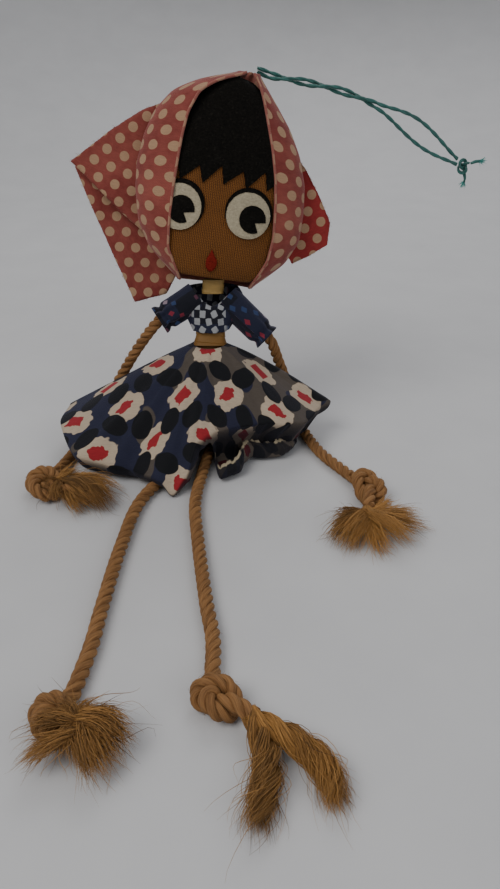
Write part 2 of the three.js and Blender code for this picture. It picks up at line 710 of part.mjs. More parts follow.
function addArm(side, shoulder, elbow, hand, inDeg, outDeg, mirror, fan) {
  const sag = shoulder.clone().lerp(elbow, 0.55).add(V(Math.sign(elbow.x) * 1.5, 1, -1));
  const top = shoulder.clone().lerp(elbow, 0.004);
  const low = elbow.clone().lerp(sag, 3.3 / elbow.distanceTo(sag));
  put("upper_arm_rope_" + side, rope([top, sag, low]), ROPE_BROWN);
  const knot = knotPath(hand, inDeg, outDeg, mirror);
  const start = knot.getPointAt(0);
  const back = knot.getTangentAt(0).negate();
  const meet = start.clone().addScaledVector(back, GAP);
  const before = meet.clone().addScaledVector(back, 6);
  const mid = elbow.clone().lerp(before, 0.45).add(V(Math.sign(elbow.x) * -1.5, 0, 0));
  put("forearm_rope_" + side, rope([elbow, mid, before, meet]), ROPE_BROWN);
  put("hand_knot_" + side, ropeKnot(knot), ROPE_BROWN);
  put("hand_tassel_" + side, fan(knot), FIBRE_BROWN);
}

function addLeg(side, x, knee, foot, inDeg, outDeg, mirror) {
  const hip = V(x, HIP_Y, 3);
  const knees = knee.clone().lerp(hip, 3.3 / knee.distanceTo(hip));
  const mid = hip.clone().lerp(knee, 0.4).add(V(0, -2, 0));
  put("thigh_rope_" + side, rope([hip, mid, knees]), ROPE_BROWN);
  const knot = knotPath(foot, inDeg, outDeg, mirror);
  const start = knot.getPointAt(0);
  const back = knot.getTangentAt(0).negate();
  const meet = start.clone().addScaledVector(back, GAP);
  const before = meet.clone().addScaledVector(back, 8);
  put("shin_rope_" + side, rope([knee, knee.clone().lerp(before, 0.5), before, meet]), ROPE_BROWN);
  put("foot_knot_" + side, ropeKnot(knot), ROPE_BROWN);
  return knot;
}

function fanFrom(knot, points, width, height, flutes) {
  const end = knot.getPointAt(1);
  const out = knot.getTangentAt(1);
  const start = end.clone().addScaledVector(out, GAP + 0.6);
  return tassel([start, ...points], width, height, flutes);
}

function addLimbs() {
  addArm("left", SHOULDER_L, ELBOW_L, HAND_L, 82, -28, false,
    (k) => fanFrom(k, [V(-60, -77, 6), V(-52, -80, 5), V(-43, -83, 4)], 10.5, 4.2, 9));
  addArm("right", SHOULDER_R, ELBOW_R, HAND_R, 118, 262, true,
    (k) => fanFrom(k, [V(77, -90, 6), V(75, -98, 5), V(73, -107, 4)], 12, 4.2, 9));
  const left = addLeg("left", -TORSO_PITCH, KNEE_L, FOOT_L, 78, -38, false);
  put("foot_tassel_left", fanFrom(left, [V(-23.5, -215.5, 6.4), V(-21, -220, 5), V(-17, -228, 4)],
    10.5, 4.2, 9), FIBRE_BROWN);
  const right = addLeg("right", TORSO_PITCH, KNEE_R, FOOT_R, 100, -48, false);
  put("foot_tassel_right_a", fanFrom(right,
    [V(24.5, -214, 5.4), V(24, -224, 4.6), V(22.5, -240, 3.6)], 6.4, 3.4, 7), FIBRE_BROWN);
  put("foot_tassel_right_b",
    tassel([V(29.6, -211, 5), V(33.5, -216, 4.6), V(41, -226, 3.6)], 5.6, 3.4, 7), FIBRE_BROWN);
}

addTorso();
addHead();
addLoop();
addLimbs();

export default doll;
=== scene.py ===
"""A seated cloth doll with rope arms and legs, a felt face, a dotted headscarf and a hanging loop.

Metres, +Z up, the doll faces -Y.  Places are worked out in millimetres and scaled once, in piece().
"""
import math

import bpy
import numpy as np
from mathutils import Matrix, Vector
from mathutils.geometry import delaunay_2d_cdt


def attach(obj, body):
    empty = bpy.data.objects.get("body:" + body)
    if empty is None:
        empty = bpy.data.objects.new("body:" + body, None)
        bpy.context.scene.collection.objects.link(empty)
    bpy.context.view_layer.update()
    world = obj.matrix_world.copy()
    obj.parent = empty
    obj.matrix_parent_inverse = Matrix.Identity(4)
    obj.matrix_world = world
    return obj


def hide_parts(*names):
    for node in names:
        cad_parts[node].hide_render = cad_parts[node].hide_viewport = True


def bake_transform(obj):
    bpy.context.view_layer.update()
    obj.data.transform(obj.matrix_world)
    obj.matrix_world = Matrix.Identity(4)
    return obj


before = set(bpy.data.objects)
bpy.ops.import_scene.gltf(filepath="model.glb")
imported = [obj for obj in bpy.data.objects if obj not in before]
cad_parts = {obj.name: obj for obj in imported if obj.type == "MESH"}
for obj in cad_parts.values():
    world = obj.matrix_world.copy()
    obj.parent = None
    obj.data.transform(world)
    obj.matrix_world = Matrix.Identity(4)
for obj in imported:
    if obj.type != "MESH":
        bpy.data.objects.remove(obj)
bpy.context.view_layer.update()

MM = 0.001
rng = np.random.default_rng(7)

# ---- driving sizes, in millimetres, and angles in radians ----
ROPE_D = 6.0  # limb rope, three strands
ROPE_LAY = 14.4  # length of one full turn of a strand
STRAND_R = 1.52
KNOT_CENTRE_Z = 6.2
FLOOR_GAP = 0.15  # nothing fine goes lower than this
FIBRES_PER_MM = 50  # fibres in a lock, for each millimetre of its width
CORD_LAY = 13.0
CLOTH = 0.45  # thickness of the printed cottons
SCARF_THICK = 0.6
HEAD_H = 99.0
HEAD_HALF_W = 36.0
HEAD_WIDEST = 42.0  # height of the widest place
HEAD_FRONT = 13.0  # padding in front of the neck's middle, and behind it
HEAD_BACK = 6.0
NECK_PIVOT = np.array([2.5, 11.0, 86.0])
HEAD_LEAN = math.radians(-14.5)
HEAD_ROLL = math.radians(7.9)
EYE_R = 11.3
EYE_Z = 34.0
EYE_X = {"left": -21.4, "right": 13.8}
PUPIL_R = 6.8
WAIST_Z = 50.0
UPPER_SHIFT = 0.06  # sideways and backward lean of the body above the waist, per millimetre of height
UPPER_LEAN = 0.33
BODICE_TOP_Z = 81.5
BODICE_H = 20.5
SKIRT_TOP_R = 8.6
SKIRT_TOP_Z = 54.0


# ---- camera and light ----
def make_camera():
    data = bpy.data.cameras.new("camera")
    data.lens = 28.35
    data.sensor_width = 36
    cam = bpy.data.objects.new("camera", data)
    cam.location = (0.022, -0.358, 0.197)
    cam.rotation_euler = (math.radians(60), 0, 0)
    bpy.context.scene.collection.objects.link(cam)
    bpy.context.scene.camera = cam


def make_light(name, place, aim, size, power, tint):
    data = bpy.data.lights.new(name, "AREA")
    data.shape = "DISK"
    data.size = size
    data.energy = power
    data.color = tint
    lamp = bpy.data.objects.new(name, data)
    lamp.location = place
    lamp.rotation_euler = (Vector(aim) - Vector(place)).to_track_quat("-Z", "Y").to_euler()
    bpy.context.scene.collection.objects.link(lamp)


def make_studio():
    """Three soft lamps and a pale room."""
    make_light("soft_key", (-0.7, -0.6, 1.1), (0, -0.05, 0.05), 0.9, 9.2, (1.0, 0.98, 0.95))
    make_light("soft_fill", (0.9, -0.9, 0.7), (0, -0.05, 0.08), 1.2, 4.2, (0.95, 0.97, 1.0))
    make_light("soft_back", (0.2, 0.9, 0.9), (0, 0, 0.08), 0.8, 4.2, (1.0, 1.0, 1.0))
    world = bpy.data.worlds.new("pale_room")
    world.use_nodes = True
    world.node_tree.nodes["Background"].inputs["Color"].default_value = (0.80, 0.81, 0.83, 1)
    world.node_tree.nodes["Background"].inputs["Strength"].default_value = 0.46
    bpy.context.scene.world = world


# ---- paths ----
def smooth_path(points, step=0.6):
    """A smooth line through the points, as evenly spaced places step apart."""
    p = np.asarray(points, float)
    p = np.vstack([2 * p[0] - p[1], p, 2 * p[-1] - p[-2]])
    out = []
    for a, b, c, d in zip(p[:-3], p[1:-2], p[2:-1], p[3:]):
        knots = np.cumsum([0] + [np.linalg.norm(y - x) ** 0.5 for x, y in ((a, b), (b, c), (c, d))])
        t0, t1, t2, t3 = knots
        t = np.linspace(t1, t2, max(3, int(np.linalg.norm(c - b) / 0.25)), endpoint=False)[:, None]
        ab = (t1 - t) / (t1 - t0) * a + (t - t0) / (t1 - t0) * b
        bc = (t2 - t) / (t2 - t1) * b + (t - t1) / (t2 - t1) * c
        cd = (t3 - t) / (t3 - t2) * c + (t - t2) / (t3 - t2) * d
        abc = (t2 - t) / (t2 - t0) * ab + (t - t0) / (t2 - t0) * bc
        bcd = (t3 - t) / (t3 - t1) * bc + (t - t1) / (t3 - t1) * cd
        out.append((t2 - t) / (t2 - t1) * abc + (t - t1) / (t2 - t1) * bcd)
    return evened(np.vstack(out + [p[-2:-1]]), step)


def evened(line, step):
    """The same line with places the same distance apart."""
    far = np.concatenate([[0], np.cumsum(np.linalg.norm(np.diff(line, axis=0), axis=1))])
    count = max(3, int(round(far[-1] / step)) + 1)
    at = np.linspace(0, far[-1], count)
    return np.stack([np.interp(at, far, line[:, k]) for k in range(3)], 1)


def reach_of(line):
    """How far along the line each of its places lies."""
    return np.concatenate([[0], np.cumsum(np.linalg.norm(np.diff(line, axis=0), axis=1))])


def frames_along(line):
    """Tangent, side and up at each place, turned as little as possible from one to the next."""
    t = np.gradient(line, axis=0)
    t /= np.linalg.norm(t, axis=1)[:, None]
    start = np.array([0, 0, 1.0]) if abs(t[0, 2]) < 0.9 else np.array([0, 1.0, 0])
    side = np.cross(t[0], start)
    sides = []
    for tangent in t:
        side = side - tangent * (side @ tangent)
        side /= np.linalg.norm(side)
        sides.append(side)
    sides = np.array(sides)
    return t, sides, np.cross(t, sides)


def tightened(line, girth, rounds):
    """Draws a loosely laid knot tight, while its turns keep a rope's girth apart."""
    line = evened(line, 1.0)
    index = np.arange(len(line))
    for turn in range(rounds):
        line[1:-1] += 0.32 * (line[:-2] + line[2:] - 2 * line[1:-1])
        for _ in range(3):
            gap = line[:, None] - line[None]
            far = np.linalg.norm(gap, axis=2) + 1e-9
            near = (far < girth) & (abs(index[:, None] - index[None]) > girth * 1.7)
            push = (gap / far[:, :, None] * ((girth - far) * near * 0.25)[:, :, None]).sum(1)
            size = np.linalg.norm(push, axis=1)[:, None]
            push *= np.minimum(1, 0.6 / (size + 1e-9))
            line[2:-2] += push[2:-2]
            line[2:-2, 2] = np.maximum(line[2:-2, 2], ROPE_D / 2 + 0.1)
        if turn % 5 == 4:
            line = evened(line, 1.0)
            index = np.arange(len(line))
    return line


def knot_line(centre, in_deg, out_deg, mirror, loose):
    """An overhand knot lying flat: in low from one side, out high at the other. loose opens it out."""
    mid = math.radians((in_deg + out_deg) / 2)
    big, small = 6.6, 3.4
    q = np.radians(np.linspace(30, 330, 41))
    k = big + small * np.cos(3 * q)
    x, y = k * np.cos(2 * q), k * np.sin(2 * q) * (-1 if mirror else 1)
    loop = np.stack([
        centre[0] + x * math.cos(mid) - y * math.sin(mid),
        centre[1] + x * math.sin(mid) + y * math.cos(mid),
        centre[2] - small * np.sin(3 * q),
    ], 1)

    def lead(deg, far, z):
        a = math.radians(deg)
        return [centre[0] + far * math.cos(a), centre[1] + far * math.sin(a), z]
    start = lead(in_deg, 15, centre[2] - 3.2)
    end = lead(out_deg, 14, centre[2])
    line = tightened(smooth_path([start, *loop[::4], end], 1.0), ROPE_D * 0.8, 110)
    return centre + (line - centre) * loose


def settle(made, body, slot_name, *nodes):
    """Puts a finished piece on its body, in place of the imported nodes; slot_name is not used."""
    if body:
        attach(made, body)
    if nodes:
        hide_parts(*nodes)
    return made


# ---- meshes ----
def piece(name, points, faces, material, uv=None, facts=None):
    """A named mesh object from places in millimetres; uv is per point, in millimetres of cloth."""
    mesh = bpy.data.meshes.new(name)
    faces = [np.asarray(f, np.int32) for f in faces if len(f)]
    corners = np.concatenate([f.ravel() for f in faces])
    sizes = np.concatenate([np.full(len(f), f.shape[1]) for f in faces])
    starts = np.concatenate([[0], np.cumsum(sizes)[:-1]]).astype(np.int32)
    mesh.vertices.add(len(points))
    mesh.vertices.foreach_set("co", (np.asarray(points) * MM).astype(np.float32).ravel())
    mesh.loops.add(len(corners))
    mesh.polygons.add(len(sizes))
    mesh.polygons.foreach_set("loop_start", starts)
    mesh.polygons.foreach_set("vertices", corners)
    if uv is not None:
        layer = mesh.uv_layers.new(name="cloth")
        layer.uv.foreach_set("vector", np.asarray(uv)[corners].astype(np.float32).ravel())
    for key, values in (facts or {}).items():
        attribute = mesh.attributes.new(key, "FLOAT", "POINT")
        attribute.data.foreach_set("value", np.asarray(values).astype(np.float32))
    mesh.update(calc_edges=True)
    mesh.validate()
    mesh.polygons.foreach_set("use_smooth", np.ones(len(mesh.polygons), bool))
    mesh.materials.append(material)
    made = bpy.data.objects.new(name, mesh)
    bpy.context.scene.collection.objects.link(made)
    return made


class Parts:
    """Gathers several bits of surface that become one piece."""

    def __init__(self):
        self.points, self.faces, self.uv, self.facts, self.count = [], [], [], [], 0

    def add(self, points, faces, uv, fact=0.0):
        self.points.append(points)
        self.faces += [np.asarray(f) + self.count for f in faces]
        self.uv.append(uv)
        self.facts.append(np.broadcast_to(fact, len(points)))
        self.count += len(points)
        return self

    def make(self, name, material):
        points, uv, facts = map(np.concatenate, (self.points, self.uv, self.facts))
        return piece(name, points, self.faces, material, uv, {"tone": facts})


def grid_faces(rows, cols, wrap=False):
    """Quads of a grid of rows by cols points, rows first; wrap joins the last column to the first."""
    r = np.arange(rows - 1)[:, None]
    c = np.arange(cols if wrap else cols - 1)[None]
    n = (c + 1) % cols
    return np.stack([r * cols + c, r * cols + n, (r + 1) * cols + n, (r + 1) * cols + c],
                    -1).reshape(-1, 4)


def tube(line, radius, sides, squash=1.0, seam=0.0):
    """A closed round tube along a line. radius is one number or one per place."""
    _, side, up = frames_along(line)
    a = np.linspace(0, 2 * np.pi, sides + 1) + seam
    radius = np.broadcast_to(radius, len(line))[:, None, None]
    ring = side[:, None] * np.cos(a)[None, :, None] + up[:, None] * np.sin(a)[None, :, None] * squash
    points = line[:, None] + ring * radius
    far = reach_of(line)
    uv = np.stack(np.broadcast_arrays(far[:, None], a[None] * float(np.mean(radius))), -1)
    rows, cols = len(line), sides + 1
    faces = [grid_faces(rows, cols)]
    points = np.vstack([points.reshape(-1, 3), line[:1], line[-1:]])
    uv = np.vstack([uv.reshape(-1, 2), [[0, 0]], [[far[-1], 0]]])
    c = np.arange(sides)
    n = rows * cols
    faces.append(np.stack([c + 1, c, np.full(sides, n)], 1))
    last = (rows - 1) * cols
    faces.append(np.stack([last + c, last + c + 1, np.full(sides, n + 1)], 1))
    return points, faces, uv


def strand_lines(line, lay, offset, strands, phase=0.0, start=0.0):
    """The lines of the strands of a laid rope, right-hand lay."""
    _, side, up = frames_along(line)
    turn = 2 * np.pi * (reach_of(line) + start) / lay + phase
    out = []
    for k in range(strands):
        a = turn + 2 * np.pi * k / strands
        out.append(line + offset * (side * np.cos(a)[:, None] + up * np.sin(a)[:, None]))
    return out


def stray_hairs(parts, line, radius, count, length, thick=0.05):
    """Fine fibres that stand out of a rope or a cloth edge."""
    t, side, up = frames_along(line)
    at = rng.integers(2, len(line) - 2, count)
    a = rng.uniform(0, 2 * np.pi, count)
    out = side[at] * np.cos(a)[:, None] + up[at] * np.sin(a)[:, None]
    lean = t[at] * rng.normal(0, 1.3, count)[:, None]
    along = out * rng.uniform(0.25, 1, count)[:, None] + lean + rng.normal(0, 0.35, (count, 3))
    along /= np.linalg.norm(along, axis=1)[:, None]
    size = rng.uniform(0.35, 1, count) * length
    start = line[at] + out * radius * 0.92
    lines = bent_lines(start, along, size, 5, 0.35)
    lines[..., 2] = np.maximum(lines[..., 2], FLOOR_GAP)
    hairs(parts, lines, thick)


def bent_lines(start, along, size, places, curl):
    """Short curling lines, one per start."""
    s = np.linspace(0, 1, places)[None, :, None]
    bend = rng.normal(0, 1, start.shape)
    return (start[:, None] + along[:, None] * s * size[:, None, None]
            + bend[:, None] * curl * size[:, None, None] * s ** 2 * 0.6)


def hairs(parts, lines, thick, tone=None):
    """Tapered three-sided fibres along many lines at once; lines is (fibres, places, 3)."""
    count, places, _ = lines.shape
    t = np.gradient(lines, axis=1)
    t /= np.linalg.norm(t, axis=2)[..., None] + 1e-12
    guide = np.where(abs(t[:, :1, 2:3]) < 0.8, np.array([0, 0, 1.0]), np.array([1.0, 0, 0]))
    side = np.cross(t, np.broadcast_to(guide, t.shape))
    side /= np.linalg.norm(side, axis=2)[..., None] + 1e-12
    up = np.cross(t, side)
    taper = np.interp(np.linspace(0, 1, places), [0, 0.75, 1], [1, 0.8, 0.15])
    thick = np.broadcast_to(thick, count)[:, None, None, None]
    a = np.array([0, 2, 4]) * np.pi / 3
    across, over = np.cos(a)[None, None, :, None], np.sin(a)[None, None, :, None]
    ring = side[:, :, None] * across + up[:, :, None] * over
    points = lines[:, :, None] + ring * taper[None, :, None, None] * thick
    base = (np.arange(count) * places * 3)[:, None, None]
    quads = (base + grid_faces(places, 3, wrap=True)[None]).reshape(-1, 4)
    far = np.broadcast_to((np.linspace(0, 8, places))[None, :, None], (count, places, 3))
    across = np.broadcast_to((np.arange(count) * 0.37)[:, None, None], (count, places, 3))
    tone = rng.uniform(0, 1, count) if tone is None else tone
    tones = np.repeat(tone, places * 3)
    parts.add(points.reshape(-1, 3), [quads], np.stack([far, across], -1).reshape(-1, 2), tones)


def laid_rope(name, line, material, first=0.0, hairs_per_mm=1.6, swell=None):
    """Three strands laid together, each a bundle of fibres, with stray hairs."""
    parts = Parts()
    radius = STRAND_R if swell is None else STRAND_R * swell
    for k, strand in enumerate(strand_lines(line, ROPE_LAY, ROPE_D / 2 - STRAND_R + 0.06, 3, start=first)):
        parts.add(*tube(strand, radius, 10, seam=k), 0.25 + 0.25 * k)
    far = reach_of(line)[-1]
    stray_hairs(parts, line, ROPE_D / 2, int(far * hairs_per_mm), 2.0, 0.045)
    return parts.make(name, material)


# ---- shading helpers ----
class Graph:
    """Short names for adding and joining shader nodes in one tree."""

    def __init__(self, tree):
        self.tree = tree

    def node(self, kind, links=None, **values):
        made = self.tree.nodes.new(kind)
        for key, value in values.items():
            setattr(made, key, value)
        for key, value in (links or {}).items():
            self.feed(made.inputs[key], value)
        return made

    def feed(self, socket, value):
        """Joins a socket to another one, or sets it to a number or colour."""
        if isinstance(value, bpy.types.NodeSocket):
            self.tree.links.new(value, socket)
        else:
            socket.default_value = value

    def maths(self, operation, a, b=0.0):
        return self.node("ShaderNodeMath", {0: a, 1: b}, operation=operation).outputs[0]

    def vector(self, operation, a, b=(0, 0, 0)):
        made = self.node("ShaderNodeVectorMath", {0: a, 1: b}, operation=operation)
        return made.outputs["Value" if operation in ("LENGTH", "DOT_PRODUCT") else "Vector"]

    def mix(self, share, a, b, blend="MIX"):
        made = self.node("ShaderNodeMix", data_type="RGBA", blend_type=blend, clamp_factor=True)
        for place, value in ((0, share), (6, a), (7, b)):
            self.feed(made.inputs[place], value)
        return made.outputs[2]

    def noise(self, vector, scale, detail=3.0, roughness=0.55):
        made = self.node("ShaderNodeTexNoise", {
            "Vector": vector, "Scale": scale, "Detail": detail, "Roughness": roughness})
        return made.outputs["Fac"]

    def step(self, value, low, high, to_low=0.0, to_high=1.0):
        """A soft step from to_low, at low, to to_high, at high."""
        made = self.node("ShaderNodeMapRange", {
            "Value": value, "From Min": low, "From Max": high, "To Min": to_low, "To Max": to_high},
            interpolation_type="SMOOTHSTEP")
        return made.outputs[0]

    def split(self, vector):
        made = self.node("ShaderNodeSeparateXYZ", {0: vector})
        return made.outputs[0], made.outputs[1], made.outputs[2]

    def join(self, x, y, z=0.0):
        return self.node("ShaderNodeCombineXYZ", {0: x, 1: y, 2: z}).outputs[0]

    def place(self, group, links):
        """One of the shared effects, with its own values."""
        made = self.tree.nodes.new("ShaderNodeGroup")
        made.node_tree = group
        for key, value in links.items():
            self.feed(made.inputs[key], value)
        return made


def rgb(hex_text):
    """A colour as the shader wants it, from the usual six-letter code."""
    v = [int(hex_text[i:i + 2], 16) / 255 for i in (0, 2, 4)]
    return tuple(x / 12.92 if x <= 0.04045 else ((x + 0.055) / 1.055) ** 2.4 for x in v) + (1.0,)


def new_group(name, inputs, outputs):
    """An empty shader node group with named sockets; returns it, its graph and its two ends."""
    tree = bpy.data.node_groups.new(name, "ShaderNodeTree")
    for label, kind, value in inputs:
        socket = tree.interface.new_socket(label, in_out="INPUT", socket_type="NodeSocket" + kind)
        socket.default_value = value
    for label, kind in outputs:
        tree.interface.new_socket(label, in_out="OUTPUT", socket_type="NodeSocket" + kind)
    start = tree.nodes.new("NodeGroupInput")
    end = tree.nodes.new("NodeGroupOutput")
    return tree, Graph(tree), start.outputs, end.inputs


def weave_group():
    """Plain woven cotton: over and under threads, with slubs. Place is in millimetres."""
    tree, g, given, out = new_group(
        "plain weave", [("Place", "Vector", (0, 0, 0)), ("Thread", "Float", 0.4)],
        [("Height", "Float"), ("Tone", "Float")])
    turns = g.vector("SCALE", given["Place"])
    scale = turns.node
    tree.links.new(g.maths("DIVIDE", math.pi, given["Thread"]), scale.inputs["Scale"])
    x, y, _ = g.split(turns)
    over = g.maths("MULTIPLY", g.maths("SINE", x), g.maths("SINE", y))
    slub = g.noise(g.vector("MULTIPLY", given["Place"], (0.25, 2.2, 1)), 1.0, 2.0)
    tree.links.new(g.maths("ADD", g.maths("MULTIPLY", over, 0.5), slub), out["Height"])
    tree.links.new(g.step(slub, 0.25, 0.75, 0.9, 1.08), out["Tone"])
    return tree


def fade_group():
    """Uneven fading, handling marks and dust, as a tone round 1."""
    tree, g, given, out = new_group(
        "fading", [("Place", "Vector", (0, 0, 0)), ("Size", "Float", 20.0), ("Amount", "Float", 0.2)],
        [("Tone", "Float"), ("Dust", "Float")])
    near = g.vector("SCALE", given["Place"])
    tree.links.new(g.maths("DIVIDE", 1.0, given["Size"]), near.node.inputs["Scale"])
    broad = g.noise(near, 1.0, 3.0)
    fine = g.noise(near, 7.0, 4.0)
    spread = g.maths("ADD", g.maths("MULTIPLY", broad, 0.7), g.maths("MULTIPLY", fine, 0.3))
    swing = g.maths("MULTIPLY", g.maths("SUBTRACT", spread, 0.5), given["Amount"])
    tree.links.new(g.maths("ADD", g.maths("MULTIPLY", swing, 2.0), 1.0), out["Tone"])
    tree.links.new(g.step(fine, 0.56, 0.72), out["Dust"])
    return tree


def lattice_group():
    """A staggered repeat: where a place lies in its cell, and the cell's own random numbers."""
    tree, g, given, out = new_group(
        "staggered repeat",
        [("Place", "Vector", (0, 0, 0)), ("Wide", "Float", 7.0), ("High", "Float", 6.0),
         ("Stagger", "Float", 0.5), ("Jitter", "Float", 0.0), ("Turn", "Float", 0.0)],
        [("Local", "Vector"), ("Cell", "Vector"), ("Random", "Float")])
    x, y, _ = g.split(given["Place"])
    v = g.maths("DIVIDE", y, given["High"])
    row = g.maths("FLOOR", v)
    odd = g.maths("FLOORED_MODULO", row, 2.0)
    u = g.maths("ADD", g.maths("DIVIDE", x, given["Wide"]), g.maths("MULTIPLY", odd, given["Stagger"]))
    col = g.maths("FLOOR", u)
    cell = g.join(col, row, 3.7)
    white = g.node("ShaderNodeTexWhiteNoise", {"Vector": cell}, noise_dimensions="3D")
    r, s, t = g.split(white.outputs["Color"])
    px = g.maths("MULTIPLY", g.maths("SUBTRACT", r, 0.5), given["Jitter"])
    py = g.maths("MULTIPLY", g.maths("SUBTRACT", s, 0.5), given["Jitter"])
    lx = g.maths("SUBTRACT", g.maths("SUBTRACT", g.maths("FRACT", u), 0.5), px)
    ly = g.maths("SUBTRACT", g.maths("SUBTRACT", g.maths("FRACT", v), 0.5), py)
    lx = g.maths("MULTIPLY", lx, given["Wide"])
    ly = g.maths("MULTIPLY", ly, given["High"])
    a = g.maths("MULTIPLY", g.maths("SUBTRACT", t, 0.5), given["Turn"])
    c, n = g.maths("COSINE", a), g.maths("SINE", a)
    rx = g.maths("SUBTRACT", g.maths("MULTIPLY", lx, c), g.maths("MULTIPLY", ly, n))
    ry = g.maths("ADD", g.maths("MULTIPLY", lx, n), g.maths("MULTIPLY", ly, c))
    tree.links.new(g.join(rx, ry, 0.0), out["Local"])
    tree.links.new(white.outputs["Color"], out["Cell"])
    tree.links.new(white.outputs["Value"], out["Random"])
    return tree


def blob_group():
    """A patch of an oval, or of a box where Squareness is 1, with a wandering edge."""
    tree, g, given, out = new_group(
        "printed patch",
        [("Local", "Vector", (0, 0, 0)), ("Place", "Vector", (0, 0, 0)), ("Half wide", "Float", 5.0),
         ("Half high", "Float", 4.0), ("Squareness", "Float", 0.0), ("Wander", "Float", 0.2),
         ("Wander size", "Float", 5.0)],
        [("Mask", "Float")])
    x, y, _ = g.split(given["Local"])
    ax = g.maths("DIVIDE", g.maths("ABSOLUTE", x), given["Half wide"])
    ay = g.maths("DIVIDE", g.maths("ABSOLUTE", y), given["Half high"])
    round_far = g.vector("LENGTH", g.join(ax, ay, 0.0))
    box_far = g.maths("MAXIMUM", ax, ay)
    share = given["Squareness"]
    far = g.maths("ADD", g.maths("MULTIPLY", round_far, g.maths("SUBTRACT", 1.0, share)),
                  g.maths("MULTIPLY", box_far, share))
    near = g.vector("SCALE", given["Place"])
    tree.links.new(g.maths("DIVIDE", 1.0, given["Wander size"]), near.node.inputs["Scale"])
    wander = g.maths("MULTIPLY", g.maths("SUBTRACT", g.noise(near, 1.0, 1.0), 0.5),
                     g.maths("MULTIPLY", given["Wander"], 4.0))
    tree.links.new(g.step(g.maths("ADD", far, wander), 1.03, 0.97), out["Mask"])
    return tree


def fibre_group():
    """Combed plant fibre: long streaks along the strand. Place is (along, round) in millimetres."""
    tree, g, given, out = new_group(
        "combed fibre", [("Place", "Vector", (0, 0, 0)), ("Tone in", "Float", 0.5)],
        [("Height", "Float"), ("Tone", "Float")])
    x, y, _ = g.split(given["Place"])
    slant = g.maths("SUBTRACT", y, g.maths("MULTIPLY", x, 0.18))
    streak = g.join(g.maths("MULTIPLY", x, 0.16), g.maths("MULTIPLY", slant, 3.4),
                    g.maths("MULTIPLY", given["Tone in"], 9.0))
    fine = g.noise(streak, 1.0, 4.0, 0.65)
    broad = g.noise(g.join(g.maths("MULTIPLY", x, 0.05), g.maths("MULTIPLY", y, 0.5),
                           g.maths("MULTIPLY", given["Tone in"], 5.0)), 1.0, 2.0)
    tree.links.new(fine, out["Height"])
    tree.links.new(g.maths("ADD", g.maths("MULTIPLY", fine, 0.65), g.maths("MULTIPLY", broad, 0.35)),
                   out["Tone"])
    return tree


def nap_group():
    """Felt: short matted wool in every direction, in object millimetres."""
    tree, g, given, out = new_group(
        "felt nap", [("Place", "Vector", (0, 0, 0)), ("Size", "Float", 1.0)],
        [("Height", "Float"), ("Tone", "Float")])
    near = g.vector("SCALE", given["Place"])
    tree.links.new(g.maths("DIVIDE", 1.0, given["Size"]), near.node.inputs["Scale"])
    clumps = g.noise(near, 1.1, 5.0, 0.7)
    wisps = g.noise(g.vector("MULTIPLY", near, (0.5, 3.0, 3.5)), 1.0, 3.0)
    both = g.maths("ADD", g.maths("MULTIPLY", clumps, 0.6), g.maths("MULTIPLY", wisps, 0.4))
    tree.links.new(both, out["Height"])
    tree.links.new(both, out["Tone"])
    return tree


WEAVE, FADE, LATTICE, BLOB = weave_group(), fade_group(), lattice_group(), blob_group()
FIBRE, NAP = fibre_group(), nap_group()


def new_material(name, roughness=0.9, sheen=0.0, sheen_tint=(1, 1, 1, 1), specular=0.3):
    material = bpy.data.materials.new(name)
    material.use_nodes = True
    tree = material.node_tree
    shader = tree.nodes["Principled BSDF"]
    shader.inputs["Roughness"].default_value = roughness
    shader.inputs["Specular IOR Level"].default_value = specular
    shader.inputs["Sheen Weight"].default_value = sheen
    shader.inputs["Sheen Roughness"].default_value = 0.5
    shader.inputs["Sheen Tint"].default_value = sheen_tint
    return material, Graph(tree), shader


def cloth_place(g):
    """The cloth's own millimetres."""
    return g.node("ShaderNodeUVMap", uv_map="cloth").outputs[0]


def solid_place(g):
    """Millimetres of the object itself."""
    where = g.node("ShaderNodeTexCoord").outputs["Object"]
    made = g.vector("SCALE", where)
    made.node.inputs["Scale"].default_value = 1000
    return made


def tone_fact(g):
    return g.node("ShaderNodeAttribute", attribute_name="tone").outputs["Fac"]


def bump(g, shader, height, far, strength=1.0, under=None):
    links = {"Height": height, "Distance": far * MM, "Strength": strength}
    if under is not None:
        links["Normal"] = under
    made = g.node("ShaderNodeBump", links)
    g.tree.links.new(made.outputs[0], shader.inputs["Normal"])
    return made.outputs[0]


def toned(g, colour, tone):
    """The colour made lighter or darker by a tone round 1."""
    tint = g.node("ShaderNodeCombineColor", {0: tone, 1: tone, 2: tone}).outputs[0]
    return g.mix(1.0, colour, tint, "MULTIPLY")


def rope_material():
    material, g, shader = new_material("golden_rope", 0.72, 0.15, rgb("e8c890"), 0.35)
    fibre = g.place(FIBRE, {"Place": cloth_place(g), "Tone in": tone_fact(g)})
    fade = g.place(FADE, {"Place": solid_place(g), "Size": 26.0, "Amount": 0.22})
    colour = g.mix(g.step(fibre.outputs["Tone"], 0.3, 0.72), rgb("5e3b1b"), rgb("a67848"))
    colour = toned(g, colour, fade.outputs["Tone"])
    g.tree.links.new(colour, shader.inputs["Base Color"])
    bump(g, shader, fibre.outputs["Height"], 0.5, 0.8)
    return material


def tassel_material():
    material, g, shader = new_material("frayed_fibre", 0.7, 0.2, rgb("f0d098"), 0.35)
    fibre = g.place(FIBRE, {"Place": cloth_place(g), "Tone in": tone_fact(g)})
    # The tone attribute sets each fray's brightness: random per fibre, with painted shade as lower tones on
    # the left hand and foot.
    share = g.maths("ADD", g.maths("MULTIPLY", tone_fact(g), 0.6),
                    g.maths("MULTIPLY", fibre.outputs["Tone"], 0.4))
    colour = g.mix(g.step(share, 0.15, 0.85), rgb("44290f"), rgb("b88648"))
    g.tree.links.new(colour, shader.inputs["Base Color"])
    return material


